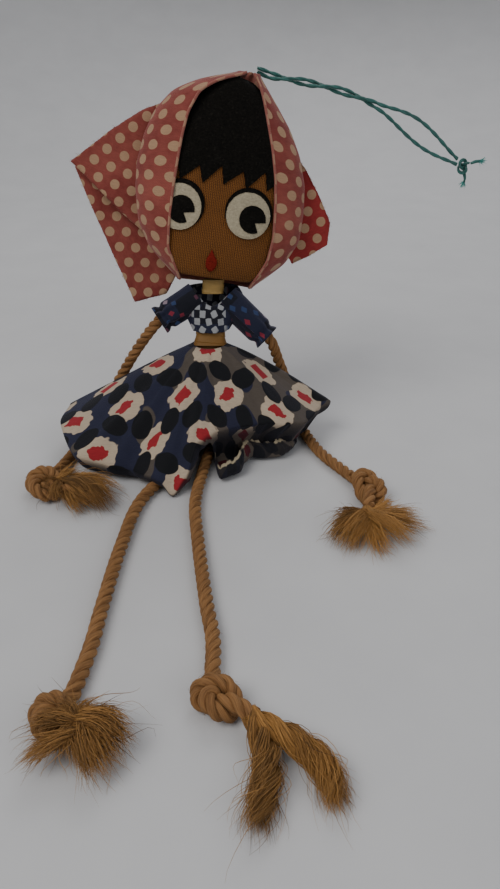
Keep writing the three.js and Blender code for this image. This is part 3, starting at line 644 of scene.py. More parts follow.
def tape_material():
    material, g, shader = new_material("golden_tape", 0.5, 0.05, rgb("fff0c0"), 0.3)
    place = solid_place(g)
    weave = g.place(WEAVE, {"Place": place, "Thread": 0.35})
    fade = g.place(FADE, {"Place": place, "Size": 6.0, "Amount": 0.3})
    low = g.step(g.split(place)[2], 48.0, 82.0)
    colour = g.mix(low, rgb("6c450c"), rgb("927642"))
    colour = toned(g, colour, fade.outputs["Tone"])
    g.tree.links.new(colour, shader.inputs["Base Color"])
    bump(g, shader, weave.outputs["Height"], 0.12, 0.6)
    return material


def scarf_material(name, deep, faded):
    material, g, shader = new_material(name, 0.88, 0.25, rgb("ffd8d8"), 0.25)
    place = cloth_place(g)
    spot = g.place(LATTICE, {"Place": place, "Wide": 9.4, "High": 7.4, "Jitter": 0.03})
    dot = g.place(BLOB, {"Local": spot.outputs["Local"], "Place": place, "Half wide": 2.5,
                         "Half high": 2.5, "Wander": 0.03, "Wander size": 1.6})
    weave = g.place(WEAVE, {"Place": place, "Thread": 0.42})
    fade = g.place(FADE, {"Place": place, "Size": 24.0, "Amount": 0.3})
    ground = g.mix(g.step(fade.outputs["Tone"], 0.85, 1.12), deep, faded)
    colour = g.mix(g.maths("MULTIPLY", dot.outputs["Mask"], 0.93), ground, rgb("a68769"))
    colour = toned(g, colour, weave.outputs["Tone"])
    inside = g.maths("MULTIPLY", tone_fact(g), 0.45)
    colour = g.mix(inside, colour, rgb("a06a5c"))
    g.tree.links.new(colour, shader.inputs["Base Color"])
    bump(g, shader, weave.outputs["Height"], 0.16, 0.7)
    return material


def skirt_material():
    material, g, shader = new_material("blob_print_cotton", 0.9, 0.06, rgb("d8d8ff"), 0.25)
    place = cloth_place(g)
    soft = g.noise(place, 0.034, 1.0)
    sideways = g.maths("DIVIDE", g.split(place)[0], 700.0)
    greyer = g.step(g.maths("ADD", soft, sideways), 0.492, 0.505)
    ground = g.mix(greyer, rgb("232538"), rgb("4f4740"))
    patch = g.place(LATTICE, {"Place": place, "Wide": 31.0, "High": 24.0, "Jitter": 0.14, "Turn": 1.6})
    cream = g.place(BLOB, {"Local": patch.outputs["Local"], "Place": place, "Half wide": 9.8,
                           "Half high": 7.9, "Squareness": 0.3, "Wander": 0.16, "Wander size": 5.0})
    middle = g.vector("ADD", patch.outputs["Local"], (0.6, -0.4, 0))
    red = g.place(BLOB, {"Local": middle, "Place": place, "Half wide": 4.9, "Half high": 3.2,
                         "Squareness": g.step(patch.outputs["Random"], 0.45, 0.55),
                         "Wander": g.step(patch.outputs["Random"], 0.2, 0.9, 0.4, 0.03),
                         "Wander size": 3.4})
    moved = g.vector("ADD", place, (15.5, 12.0, 0))
    oval = g.place(LATTICE, {"Place": moved, "Wide": 15.5, "High": 24.0, "Stagger": 1.0,
                             "Jitter": 0.2, "Turn": 2.6})
    black = g.place(BLOB, {"Local": oval.outputs["Local"], "Place": place, "Half wide": 7.5,
                           "Half high": 5.3, "Wander": 0.06, "Wander size": 6.0})
    weave = g.place(WEAVE, {"Place": place, "Thread": 0.4})
    fade = g.place(FADE, {"Place": place, "Size": 30.0, "Amount": 0.22})
    colour = g.mix(cream.outputs["Mask"], ground, rgb("b2a18c"))
    colour = g.mix(red.outputs["Mask"], colour, rgb("94242a"))
    colour = g.mix(black.outputs["Mask"], colour, rgb("101114"))
    colour = toned(g, toned(g, colour, weave.outputs["Tone"]), fade.outputs["Tone"])
    # Tone 0 to 1 darkens towards near-black 15151a: on the printed face past the fold this is painted
    # shade; the reverse face is darkened to near-black all over.
    inside = g.step(tone_fact(g), 0.0, 1.0, 0.0, 0.8)
    colour = g.mix(inside, colour, rgb("15151a"))
    torn = g.step(tone_fact(g), 1.3, 1.9)
    colour = g.mix(torn, colour, rgb("a3967c"))
    g.tree.links.new(colour, shader.inputs["Base Color"])
    bump(g, shader, weave.outputs["Height"], 0.15, 0.7)
    return material


def blouse_material():
    material, g, shader = new_material("check_print_cotton", 0.85, 0.2, rgb("d8d8ff"), 0.25)
    place = cloth_place(g)
    cell = g.place(LATTICE, {"Place": place, "Wide": 7.2, "High": 3.8, "Stagger": 0.5,
                             "Jitter": 0.14, "Turn": 1.5})
    middle = g.step(g.maths("ABSOLUTE", g.split(place)[0]), 12.0, 10.0)
    half = g.maths("ADD", g.maths("MULTIPLY", middle, 0.6), 1.15)
    square = g.place(BLOB, {"Local": cell.outputs["Local"], "Place": place, "Half wide": half,
                            "Half high": half, "Squareness": 0.9, "Wander": 0.07, "Wander size": 1.5})
    shade = g.place(LATTICE, {"Place": place, "Wide": 8.6, "High": 8.2, "Stagger": 0.5})
    r, s, t = g.split(cell.outputs["Cell"])
    bright = g.mix(g.step(r, 0.45, 0.5), rgb("54303f"), rgb("28395c"))
    bright = g.mix(g.step(s, 0.62, 0.66), bright, rgb("7c2434"))
    bright = g.mix(g.step(t, 0.72, 0.76), bright, rgb("8a7a84"))
    ink = g.mix(middle, bright, rgb("929496"))
    ground = g.mix(g.step(shade.outputs["Random"], 0.4, 0.6), rgb("0d0f18"), rgb("191d30"))
    missing = g.mix(middle, (0.3, 0.3, 0.3, 1), (0.05, 0.05, 0.05, 1))
    shown = g.maths("MULTIPLY", square.outputs["Mask"],
                    g.maths("GREATER_THAN", cell.outputs["Random"], missing))
    colour = g.mix(shown, ground, ink)
    weave = g.place(WEAVE, {"Place": place, "Thread": 0.4})
    colour = toned(g, colour, weave.outputs["Tone"])
    inside = g.maths("MULTIPLY", tone_fact(g), 0.5)
    colour = g.mix(inside, colour, rgb("1e2030"))
    g.tree.links.new(colour, shader.inputs["Base Color"])
    bump(g, shader, weave.outputs["Height"], 0.15, 0.7)
    return material


def knit_material():
    """Fine stocking knit: columns of V stitches, with painted highlight where each loop stands up and
    painted shade between them.
    """
    material, g, shader = new_material("golden_brown_knit", 0.85, 0.25, rgb("e0b070"), 0.25)
    place = cloth_place(g)
    x, y, _ = g.split(place)
    wander = g.maths("MULTIPLY", g.noise(g.vector("MULTIPLY", place, (0.12, 0.05, 1)), 1.0, 2.0), 1.6)
    column = g.maths("DIVIDE", g.maths("ADD", x, wander), 2.0)
    across = g.maths("SUBTRACT", g.maths("MULTIPLY", g.maths("FRACT", column), 2.0), 1.0)
    wing = g.maths("ABSOLUTE", across)
    rise = g.maths("SUBTRACT", g.maths("DIVIDE", y, 1.25), g.maths("MULTIPLY", wing, 0.75))
    loops = g.maths("SINE", g.maths("MULTIPLY", rise, 2 * math.pi))
    ridge = g.maths("SINE", g.maths("MULTIPLY", wing, math.pi))
    height = g.maths("ADD", g.maths("MULTIPLY", ridge, 0.65),
                     g.maths("MULTIPLY", g.maths("MULTIPLY", loops, ridge), 0.35))
    fuzz = g.noise(place, 2.2, 4.0, 0.7)
    fade = g.place(FADE, {"Place": place, "Size": 16.0, "Amount": 0.35})
    # Painted highlight and shade: the colour follows the stitch height and ridges, lighter on the raised
    # loops and darker between them; the fuzz part is the yarn's own uneven tone.
    share = g.maths("ADD", g.maths("MULTIPLY", height, 0.45), g.maths("MULTIPLY", ridge, 0.3))
    share = g.maths("ADD", share, g.maths("MULTIPLY", fuzz, 0.35))
    colour = g.mix(g.step(share, 0.1, 0.95), rgb("341b0b"), rgb("85521f"))
    colour = toned(g, colour, fade.outputs["Tone"])
    g.tree.links.new(colour, shader.inputs["Base Color"])
    bump(g, shader, g.maths("ADD", height, g.maths("MULTIPLY", fuzz, 0.3)), 0.45, 0.9)
    return material


def felt_material(name, dark, light, sheen, lint=0.0):
    material, g, shader = new_material(name, 1.0, sheen, light, 0.1)
    place = solid_place(g)
    nap = g.place(NAP, {"Place": place, "Size": 1.1})
    fade = g.place(FADE, {"Place": place, "Size": 9.0, "Amount": 0.16})
    colour = g.mix(g.step(nap.outputs["Tone"], 0.3, 0.7), dark, light)
    if lint:
        colour = g.mix(g.maths("MULTIPLY", fade.outputs["Dust"], lint), colour, rgb("6a6258"))
    colour = toned(g, colour, fade.outputs["Tone"])
    g.tree.links.new(colour, shader.inputs["Base Color"])
    bump(g, shader, nap.outputs["Height"], 0.35, 0.8)
    return material


def cord_material():
    material, g, shader = new_material("waxed_green_cord", 0.45, 0.1, rgb("a0e0d0"), 0.5)
    fibre = g.place(FIBRE, {"Place": cloth_place(g), "Tone in": tone_fact(g)})
    colour = g.mix(g.step(fibre.outputs["Tone"], 0.3, 0.7), rgb("0b3a35"), rgb("2a6e66"))
    fresh = g.step(tone_fact(g), 0.85, 1.0)
    colour = g.mix(fresh, colour, rgb("3a9c92"))
    g.tree.links.new(colour, shader.inputs["Base Color"])
    bump(g, shader, fibre.outputs["Height"], 0.2, 0.7)
    return material


def floor_material():
    material, g, shader = new_material("pale_floor", 0.8, 0.0, (1, 1, 1, 1), 0.3)
    place = solid_place(g)
    soft = g.noise(place, 0.02, 3.0)
    colour = g.mix(soft, rgb("bebec0"), rgb("cacacb"))
    g.tree.links.new(colour, shader.inputs["Base Color"])
    return material


ROPE, TASSEL, TAPE = rope_material(), tassel_material(), tape_material()
SCARF = scarf_material("dotted_cotton", rgb("6c2824"), rgb("8e483e"))
FRESH_SCARF = scarf_material("unfaded_dotted_cotton", rgb("7c2020"), rgb("963230"))
SKIRT, BLOUSE, KNIT = skirt_material(), blouse_material(), knit_material()
BLACK_FELT = felt_material("black_felt", rgb("060605"), rgb("171512"), 0.12, 0.05)
WHITE_FELT = felt_material("white_felt", rgb("8f8671"), rgb("b3a88f"), 0.2)
RED_FELT = felt_material("red_felt", rgb("53130e"), rgb("7e241b"), 0.15)
CORD = cord_material()


# ---- hanging cord ----
def cord_place(t, phase):
    """One strand of the hanging loop, t from the head (0) to the knot (1)."""
    start, end = np.array([31, 42.5, 182.0]), np.array([136, 48, 139.0])
    arch, apart, bulge, twisted = 9, 1.25, 4.6, 0.55
    p = start + (end - start) * t[:, None]
    p[:, 2] += arch * np.sin(np.pi * np.clip(t, 0, 1)) ** 1.2
    late = np.clip((t - twisted) / (1 - twisted), 0, 1)
    spread = apart + bulge * np.sin(np.pi * late) ** 1.5
    turn = np.where(t < twisted, 3 * np.pi * t / twisted, 3 * np.pi) + phase
    p[:, 2] += spread * np.cos(turn)
    p[:, 1] += apart * np.sin(turn) * 0.95
    return p


def cord_strand(name, line, spin):
    """Two fine plies twisted into one cord."""
    parts = Parts()
    for k, ply in enumerate(strand_lines(line, CORD_LAY, 0.32, 2, phase=spin)):
        parts.add(*tube(ply, 0.68, 9), 0.3 + 0.2 * k)
    return parts.make(name, CORD)


def cord_knot():
    """The small overhand knot that joins the two strands of the loop."""
    centre = np.array([138.5, 48, 137.5])
    q = np.radians(np.linspace(20, 340, 60))
    k = 2.2 + 1.25 * np.cos(3 * q)
    line = np.stack([centre[0] + k * np.cos(2 * q), centre[1] - 1.25 * np.sin(3 * q),
                     centre[2] + k * np.sin(2 * q)], 1)
    line = evened(line, 0.3)
    parts = Parts()
    for k, ply in enumerate(strand_lines(line, CORD_LAY, 0.34, 2)):
        parts.add(*tube(ply, 0.62, 7), 0.35 + 0.2 * k)
    return parts.make("loop_knot", CORD)


def cord_tail(name, points):
    """A cut end of the cord, its plies opened into a small bright fray."""
    line = smooth_path(points, 0.3)
    parts = Parts()
    body = line[: int(len(line) * 0.72)]
    for k, ply in enumerate(strand_lines(body, CORD_LAY, 0.32, 2)):
        parts.add(*tube(ply, 0.55, 7), 0.5 + 0.2 * k)
    t = frames_along(line)[0]
    count = 46
    at = body[-1] + rng.normal(0, 0.4, (count, 3))
    along = t[-1] + rng.normal(0, 0.42, (count, 3))
    along /= np.linalg.norm(along, axis=1)[:, None]
    hairs(parts, bent_lines(at, along, rng.uniform(1.6, 3.6, count), 5, 0.3), 0.12,
          np.full(count, 1.0))
    return parts.make(name, CORD)


def make_hanging_loop():
    """The two cord strands from the crown, their knot and its two cut tails."""
    knot = cord_knot()
    tails = [
        cord_tail("loop_tail_up", [[142.0, 48, 139], [144.5, 48.2, 139.9], [149, 48, 140.4]]),
        cord_tail("loop_tail_down", [[139.2, 48, 134], [139.9, 47.7, 131], [139.2, 48, 127.4]]),
    ]
    for made, node in zip([knot, *tails], ["hanging_knot", "cord_tail_a", "cord_tail_b"]):
        settle(made, "loop", "green_cord", node)
    t = np.linspace(-0.05, 0.985, 60)
    strands = (("loop_cord_a", "hanging_cord_a", 0), ("loop_cord_b", "hanging_cord_b", math.pi))
    for name, node, phase in strands:
        line = evened(cord_place(t, phase), 0.6)
        made = cord_strand(name, line, phase)
        settle(made, "loop", "green_cord", node)


# ---- rope limbs ----
# Each limb: the two bodies of its upper and lower part, the second carrying its knot and fray, the imported
# nodes that it stands for, its route from the sleeve or the seat, and where it bends. Its knot: the middle,
# the directions in and out in degrees, whether it is tied the other way round, and how far it is opened out
# on each axis.
LIMBS = {
    "arm_left": {
        "bodies": ("upper_arm_left", "forearm_left"),
        "nodes": ("upper_arm_rope_left", "forearm_rope_left"),
        "knot_node": "hand_knot_left", "tassel_nodes": ["hand_tassel_left"],
        "route": [[-21.5, 5.5, 69.5], [-27, 3, 66], [-40, 7.5, 49], [-55, 11, 25], [-65.5, 12.6, 7.5],
                  [-70.5, 7, 3.2], [-71.5, -6, 3], [-73.5, -30, 3]],
        "knot": ([-80, -66, KNOT_CENTRE_Z], 82, -28, False, (1.3, 1.25, 1.0)), "joint": [-70, 13, 3],
    },
    "arm_right": {
        "bodies": ("upper_arm_right", "forearm_right"),
        "nodes": ("upper_arm_rope_right", "forearm_rope_right"),
        "knot_node": "hand_knot_right", "tassel_nodes": ["hand_tassel_right"],
        "route": [[28, 4.5, 60], [33, 2.5, 55], [38, 6.5, 41], [44.5, 10.2, 22], [48.5, 12.2, 7.5],
                  [50.2, 6.5, 3.2], [52, -3, 3], [60, -30, 3]],
        "knot": ([80, -69, KNOT_CENTRE_Z], 118, 262, True, (1.05, 1.25, 1.0)), "joint": [50, 13, 3],
    },
    "leg_left": {
        "bodies": ("thigh_left", "shin_left"), "nodes": ("thigh_rope_left", "shin_rope_left"),
        "knot_node": "foot_knot_left", "tassel_nodes": ["foot_tassel_left"],
        "route": [[-3.3, -5, 3.4], [-9, -22, 3], [-20, -50, 3], [-31.5, -78, 3], [-35, -110, 3],
                  [-36.5, -150, 3], [-36.8, -172, 3]],
        "knot": ([-42, -205, KNOT_CENTRE_Z], 78, -38, False, (1.05, 0.84, 0.95)), "joint": [-31.5, -78, 3],
    },
    "leg_right": {
        "bodies": ("thigh_right", "shin_right"), "nodes": ("thigh_rope_right", "shin_rope_right"),
        "knot_node": "foot_knot_right", "tassel_nodes": ["foot_tassel_right_a", "foot_tassel_right_b"],
        "route": [[3.3, -5, 3.4], [1, -22, 3], [-2.5, -50, 3], [-4.5, -78, 3], [-1, -110, 3],
                  [5, -150, 3], [8.2, -168, 3]],
        "knot": ([12, -197, KNOT_CENTRE_Z], 100, -48, False, (1.24, 0.74, 0.95)), "joint": [-4.5, -78, 3],
    },
}


def lock_line(start, heading, deg, length, hook, rise):
    """The middle of a lock of fibre: out of the rope's end, over, and down to the floor in a curve."""
    s = np.linspace(0, 1, 16)[:, None]
    turn = math.radians(deg) + hook * s ** 1.3
    away = np.hstack([np.cos(turn), np.sin(turn), rise * (1 - 2.2 * s)])
    freed = np.clip(s * 3.5, 0, 1)
    along = heading * (1 - freed) + away * freed
    along /= np.linalg.norm(along, axis=1)[:, None]
    return start + np.cumsum(along, axis=0) * length / 16


def lock_of_fibre(parts, line, width, count, twist=1.6, frizz=0.7, tone=0.5):
    """Fibres that follow one line together, twist a little, and frizz towards their ends."""
    places = 16
    line = evened(line, reach_of(line)[-1] / (places - 1))
    _, side, up = frames_along(line)
    along = np.linspace(0, 1, len(line))
    s = np.linspace(0, 1, places)[None] * rng.uniform(0.55, 1, count)[:, None]
    middle, side, up = (np.stack([np.interp(s, along, way[:, k]) for k in range(3)], -1)
                        for way in (line, side, up))
    flyaway = np.where(rng.uniform(0, 1, count) < 0.15, 3.0, 1.0)
    far = (np.sqrt(rng.uniform(0, 1, count))[:, None] * np.interp(s, [0, 0.3, 0.8, 1], [0.4, 0.8, 1, 1.15]))
    turn = rng.uniform(0, 2 * np.pi, count)[:, None] + twist * s
    lines = middle + side * (np.cos(turn) * far * width)[..., None]
    lines = lines + up * (np.sin(turn) * far * width * 0.75)[..., None]
    loose = (flyaway[:, None] * frizz * s ** 1.6)[..., None]
    lines = lines + rng.normal(0, 1, (count, 1, 3)) * loose * 1.3
    beat = rng.uniform(6, 13, count)[:, None] * s + rng.uniform(0, 6, count)[:, None]
    lines = lines + rng.normal(0, 1, (count, 1, 3)) * np.sin(beat)[..., None] * (0.25 + loose * 0.5)
    low = FLOOR_GAP + rng.uniform(0, 1.6, count)[:, None]
    lines[..., 2] = np.where(lines[..., 2] < low, low + (lines[..., 2] - low) * 0.05, lines[..., 2])
    lines[..., 2] = np.maximum(lines[..., 2], FLOOR_GAP)
    tones = np.clip(rng.normal(tone, 0.1) + rng.normal(0, 0.22, count), 0, 1)
    hairs(parts, lines, rng.uniform(0.07, 0.15, count), tones)


def frayed_end(name, start, heading, locks, tone, frizz=1.1):
    """Rope worked loose past its knot. Each lock is (floor direction in degrees, length, hook, width)."""
    parts = Parts()
    heading = heading / np.linalg.norm(heading)
    for deg, length, hook, width in locks:
        root = start + rng.normal(0, 1.0, 3)
        rise = rng.uniform(0.3, 0.9)
        line = lock_line(root, heading, deg, length, hook, rise)
        lock_of_fibre(parts, line, width, int(FIBRES_PER_MM * width), frizz=frizz, tone=tone)
    return parts.make(name, TASSEL)


def make_limb(name, limb):
    """One rope from sleeve or seat to its knot, bending at the joint, then the knot and its fray."""
    centre, *way = limb["knot"]
    knot = knot_line(np.array(centre, float), *way)
    route = smooth_path([*limb["route"], knot[0]], 1.0)
    whole = evened(np.vstack([route[:-2], knot]), 0.8)
    split = int(np.argmin(np.linalg.norm(whole - knot[0], axis=1))) + 5
    rope_line, knot_part = whole[: split + 1], whole[split:]
    rope = laid_rope(name + "_rope", rope_line, ROPE)
    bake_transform(rope)
    settle(rope, None, "rope", *limb["nodes"])
    tied = laid_rope(name + "_knot", knot_part, ROPE, first=reach_of(whole)[split], hairs_per_mm=2.2)
    settle(tied, limb["bodies"][1], "rope", limb["knot_node"])
    frays = FRAYS[name](knot_part)
    for fray, node in zip(frays, limb["tassel_nodes"]):
        settle(fray, limb["bodies"][1], "frayed_fibre", node)


def heading_of(line):
    """Which way a line runs at its end."""
    return line[-1] - line[-6]


def left_hand_fray(line):
    start = line.mean(0) + [5, -1, 2]
    # Painted shade: this fray's tone, 0.48, is darker than the right hand's 0.66, to darken the doll's left
    # side.
    return [frayed_end("hand_fray_left", start, heading_of(line), (
        (70, 14, -0.7, 3.2), (38, 22, -0.9, 3.6), (14, 31, -0.9, 4.0), (-8, 37, -0.7, 4.2),
        (-26, 38, -0.5, 4.2), (-46, 34, 0.4, 4.0), (-70, 27, 0.5, 3.6), (-105, 17, 0.8, 3.2),
        (-150, 13, 0.8, 3.0), (160, 12, 0.8, 2.6)), 0.48)]


def right_hand_fray(line):
    return [frayed_end("hand_fray_right", line[-1], heading_of(line), (
        (168, 20, 0.8, 3.2), (-168, 29, 0.7, 3.8), (-150, 34, 0.5, 4.2), (-130, 35, 0.3, 4.2),
        (-108, 34, -0.3, 4.2), (-86, 33, 0.3, 4.2), (-62, 34, 0.6, 4.0), (-38, 36, 0.8, 3.8),
        (-12, 32, 0.9, 3.2), (20, 20, 0.9, 2.8)), 0.66)]


def left_foot_fray(line):
    start = line.mean(0) + [5, -3, 3]
    # Painted shade: this fray's tone, 0.48, is darker than the right foot's 0.6, to darken the doll's left
    # side.
    return [frayed_end("foot_fray_left", start, heading_of(line), (
        (75, 14, -0.8, 3.2), (45, 20, -1.0, 3.6), (20, 24, -0.9, 4.0), (-4, 25, -0.8, 4.2),
        (-28, 24, -0.5, 4.0), (-52, 26, -0.3, 3.8), (-70, 29, 0.4, 3.4), (-100, 14, 0.5, 3.2),
        (-135, 25, -0.5, 3.4), (-160, 24, 0.5, 3.4), (170, 18, 0.8, 3.4), (130, 13, 0.8, 3.0)), 0.48)]


def right_foot_frays(line):
    """The rope has opened into two thick loose yarns, each twisted from plies and frizzed at its end."""
    made = []
    yarns = (
        ("foot_fray_right_a", [[1.5, -7, -1], [3.5, -16, -2], [2, -27, -2.5], [-1, -37, -3]]),
        ("foot_fray_right_b", [[7, -5, 0], [16, -11, -1.5], [23, -20, -2.5], [23.5, -31, -3]]),
    )
    start = line[-1] - heading_of(line) * 0.4
    for name, route in yarns:
        way = smooth_path([start, *(line[-1] + np.array(route))], 0.8)
        parts = Parts()
        for ply in strand_lines(way, 26.0, 2.2, 3):
            lock_of_fibre(parts, ply, 2.3, 480, 3.0, 1.1, 0.6)
        made.append(parts.make(name, TASSEL))
    return made


FRAYS = {"arm_left": left_hand_fray, "arm_right": right_hand_fray,
         "leg_left": left_foot_fray, "leg_right": right_foot_frays}


# ---- cloth sheets ----
def thick_sheet(grid, thick, uv, wrap=False):
    """A sheet over a grid of places, with a face on each side, and closed edges. Rows, then columns."""
    rows, cols, _ = grid.shape
    dr = np.gradient(grid, axis=0)
    if wrap:
        dc = np.roll(grid, -1, 1) - np.roll(grid, 1, 1)
    else:
        dc = np.gradient(grid, axis=1)
    normal = np.cross(dc, dr)
    normal /= np.linalg.norm(normal, axis=2)[..., None] + 1e-12
    top = (grid + normal * thick / 2).reshape(-1, 3)
    low = (grid - normal * thick / 2).reshape(-1, 3)
    count = rows * cols
    faces = grid_faces(rows, cols, wrap)
    edges = [np.arange(cols), (rows - 1) * cols + np.arange(cols)]
    if not wrap:
        edges += [np.arange(rows) * cols, np.arange(rows) * cols + cols - 1]
    rims = []
    for k, edge in enumerate(edges):
        a, b = edge[:-1], edge[1:]
        if wrap:
            a, b = edge, np.roll(edge, -1)
        quad = np.stack([a, a + count, b + count, b], 1)
        rims.append(quad[:, ::-1] if k in (1, 2) else quad)
    points = np.vstack([top, low])
    inside = np.concatenate([np.zeros(count), np.ones(count)])
    return points, [faces, faces[:, ::-1] + count, *rims], np.vstack([uv, uv]), inside


def filled_outline(outline, spacing, jitter=0.0):
    """A flat outline filled with small triangles: its points, triangles and distance to the edge."""
    outline = np.asarray(outline, float)
    ring = np.vstack([outline, outline[:1]])
    far = np.concatenate([[0], np.cumsum(np.linalg.norm(np.diff(ring, axis=0), axis=1))])
    at = np.linspace(0, far[-1], int(far[-1] / (spacing * 0.5)), endpoint=False)
    edge = np.stack([np.interp(at, far, ring[:, k]) for k in range(2)], 1)
    edge += rng.normal(0, jitter, edge.shape)
    low, high = edge.min(0), edge.max(0)
    xs = np.arange(low[0], high[0], spacing)
    ys = np.arange(low[1], high[1], spacing * 0.866)
    gx, gy = np.meshgrid(xs, ys)
    gx = gx + (np.arange(len(ys)) % 2)[:, None] * spacing / 2
    inner = np.stack([gx.ravel(), gy.ravel()], 1)
    keep = inside_outline(inner, edge)
    inner = inner[keep]
    near = edge_distance(inner, edge)
    inner = inner[near > spacing * 0.45]
    points = np.vstack([edge, inner])
    n = len(edge)
    loops = [(i, (i + 1) % n) for i in range(n)]
    made = delaunay_2d_cdt([Vector(p) for p in points], loops, [list(range(n))], 1, 1e-6)
    flat = np.array([[v.x, v.y] for v in made[0]])
    faces = np.array([f for f in made[2] if len(f) == 3])
    return flat, faces, edge


def inside_outline(points, edge):
    """Which points lie inside a closed outline."""
    x, y = points[:, 0][:, None], points[:, 1][:, None]
    x1, y1 = edge[:, 0][None], edge[:, 1][None]
    x2, y2 = np.roll(x1, -1, 1), np.roll(y1, -1, 1)
    crosses = ((y1 > y) != (y2 > y)) & (x < (x2 - x1) * (y - y1) / (y2 - y1 + 1e-12) + x1)
    return crosses.sum(1) % 2 == 1


def edge_distance(points, edge):
    """How far each point lies from a closed outline."""
    a, b = edge, np.roll(edge, -1, 0)
    out = np.full(len(points), 1e9)
    for p, q in zip(a, b):
        d = q - p
        t = np.clip(((points - p) @ d) / (d @ d + 1e-12), 0, 1)
        out = np.minimum(out, np.linalg.norm(points - p - t[:, None] * d, axis=1))
    return out


# ---- head ----
def head_out(points):
    """Head places, upright from its pivot, to where the head leans and rolls on the neck."""
    x, y, z = points[..., 0], points[..., 1], points[..., 2]
    c, s = math.cos(HEAD_LEAN), math.sin(HEAD_LEAN)
    y, z = y * c - z * s, y * s + z * c
    c, s = math.cos(HEAD_ROLL), math.sin(HEAD_ROLL)
    x, z = x * c + z * s, -x * s + z * c
    return np.stack([x, y, z], -1) + NECK_PIVOT


def head_half_width(z):
    """Half the head's width at a height above the chin."""
    low = np.clip((HEAD_WIDEST - z) / HEAD_WIDEST, 0, 1)
    high = np.clip((z - HEAD_WIDEST) / (HEAD_H - HEAD_WIDEST), 0, 1)
    below = HEAD_HALF_W * (np.sqrt(np.maximum(0, 1 - low ** 3.1)) * 0.66 + 0.34)
    above = HEAD_HALF_W * np.maximum(0, 1 - high ** 1.9) ** 0.72 + 1.5
    return np.where(z < HEAD_WIDEST, below, above)


def head_front(z):
    """How far the padding stands forward at a height."""
    return HEAD_FRONT * np.minimum(1, (head_half_width(z) / HEAD_HALF_W) ** 0.6)


def face_y(x, z):
    """How far forward the face stands at a place on it."""
    w = head_half_width(z)
    return -head_front(z) * np.sqrt(np.clip(1 - (x / w) ** 2, 0.02, 1))


def make_face():
    """The knit cover of the padded head, flatter behind than in front."""
    rows, cols = 150, 200
    s = 0.5 - 0.5 * np.cos(np.pi * np.linspace(0, 1, rows))[:, None]
    a = np.linspace(0, 2 * np.pi, cols, endpoint=False)[None]
    z = 1 + (HEAD_H - 1) * s
    w = head_half_width(z)
    k = np.minimum(1, (w / HEAD_HALF_W) ** 0.6)
    deep = np.where(np.sin(a) < 0, HEAD_FRONT * k, HEAD_BACK * np.minimum(1, 1.15 * k))
    x, y = w * np.cos(a), deep * np.sin(a)
    z = np.broadcast_to(z, x.shape)
    grid = np.stack([x, y, z], -1)
    flat = grid.reshape(-1, 3)
    uv = np.stack([flat[:, 0] * 1.08, flat[:, 2]], 1)
    n = rows * cols
    points = np.vstack([flat, [[0, 0, 0.7]], [[0, 0, HEAD_H + 0.3]]])
    uv = np.vstack([uv, [[0, 0]], [[0, HEAD_H]]])
    c = np.arange(cols)
    nxt = (c + 1) % cols
    faces = [grid_faces(rows, cols, True), np.stack([nxt, c, np.full(cols, n)], 1),
             np.stack([(rows - 1) * cols + c, (rows - 1) * cols + nxt, np.full(cols, n + 1)], 1)]
    parts = Parts().add(head_out(points), faces, uv)
    face = parts.make("face_knit", KNIT)
    settle(face, "head", "knit_stocking", "face_stocking", "head_padding", "head_board")


def felt_on_face(name, node, outline, lift, thick, material, slot_name, spacing=1.0, jitter=0.05):
    """A cut felt shape laid on the face, with softly rounded cut edges."""
    flat, tris, edge = filled_outline(outline, spacing, jitter)
    near = edge_distance(flat, edge)
    crown = np.sqrt(np.clip(near / 0.7, 0, 1)) * 0.45 + 0.55
    crown = np.where(near < 1e-4, 0.45, crown)
    ruffle = rng.normal(0, 0.02, len(flat))
    x, z = flat[:, 0], flat[:, 1]
    base = face_y(x, z)
    top = np.stack([x, base - lift - thick * crown + ruffle, z], 1)
    low = np.stack([x, base - lift * 0.4, z], 1)
    count = len(flat)
    n = len(edge)
    i = np.arange(n)
    j = (i + 1) % n
    area = np.cross(flat[tris[:, 1]] - flat[tris[:, 0]], flat[tris[:, 2]] - flat[tris[:, 0]])
    tris = np.where((area > 0)[:, None], tris, tris[:, ::-1])
    rim = np.stack([i, j, j + count, i + count], 1)
    uv = np.vstack([flat, flat])
    parts = Parts().add(head_out(np.vstack([top, low])), [tris, rim], uv)
    return settle(parts.make(name, material), "head", slot_name, node)


def ring(x, z, r, count=72, start=0.0, end=360.0):
    """A circle, or an arc of one, from start to end in degrees."""
    a = np.radians(np.linspace(start, end, count, endpoint=end - start < 360))
    return np.stack([x + r * np.cos(a), z + r * np.sin(a)], 1)


def fringe_outline():
    """The hair: up over the brow to the peak, with a cut fringe of slanting teeth."""
    teeth = 6
    left, step = -33.0, 11.0
    out = [[-34, 46.5]]
    for i in range(teeth):
        x = left + i * step
        out += [[x, 46.5 + i % 2], [x + step * 0.8, 55.8 - i % 2 * 1.2], [x + step * 0.96, 47 + i % 2]]
    out += [[34, 47], [33.5, 60], [30, 72], [25, 82], [17, 91], [8, 97.5], [0, 99.5], [-8, 97.5],
            [-17, 91], [-25, 82], [-30, 72], [-33.5, 60]]
    return np.array(out, float)


def pupil_outline(x, z):
    """A disc with a notch cut out of its lower right."""
    rim = ring(x, z, PUPIL_R, 60, -6, 300)
    return np.vstack([[[x + 1.4, z - 1.5]], rim])


def mouth_outline():
    """A small drop, point up."""
    return np.array([
        [-2.4, 15.4], [-0.9, 12.4], [0.5, 10.6], [0.9, 8.6], [0.3, 6.2], [-1.2, 4.4],
        [-3, 4.2], [-4.6, 6], [-5.1, 8.4], [-4.6, 10.8], [-3.5, 12.8]], float)


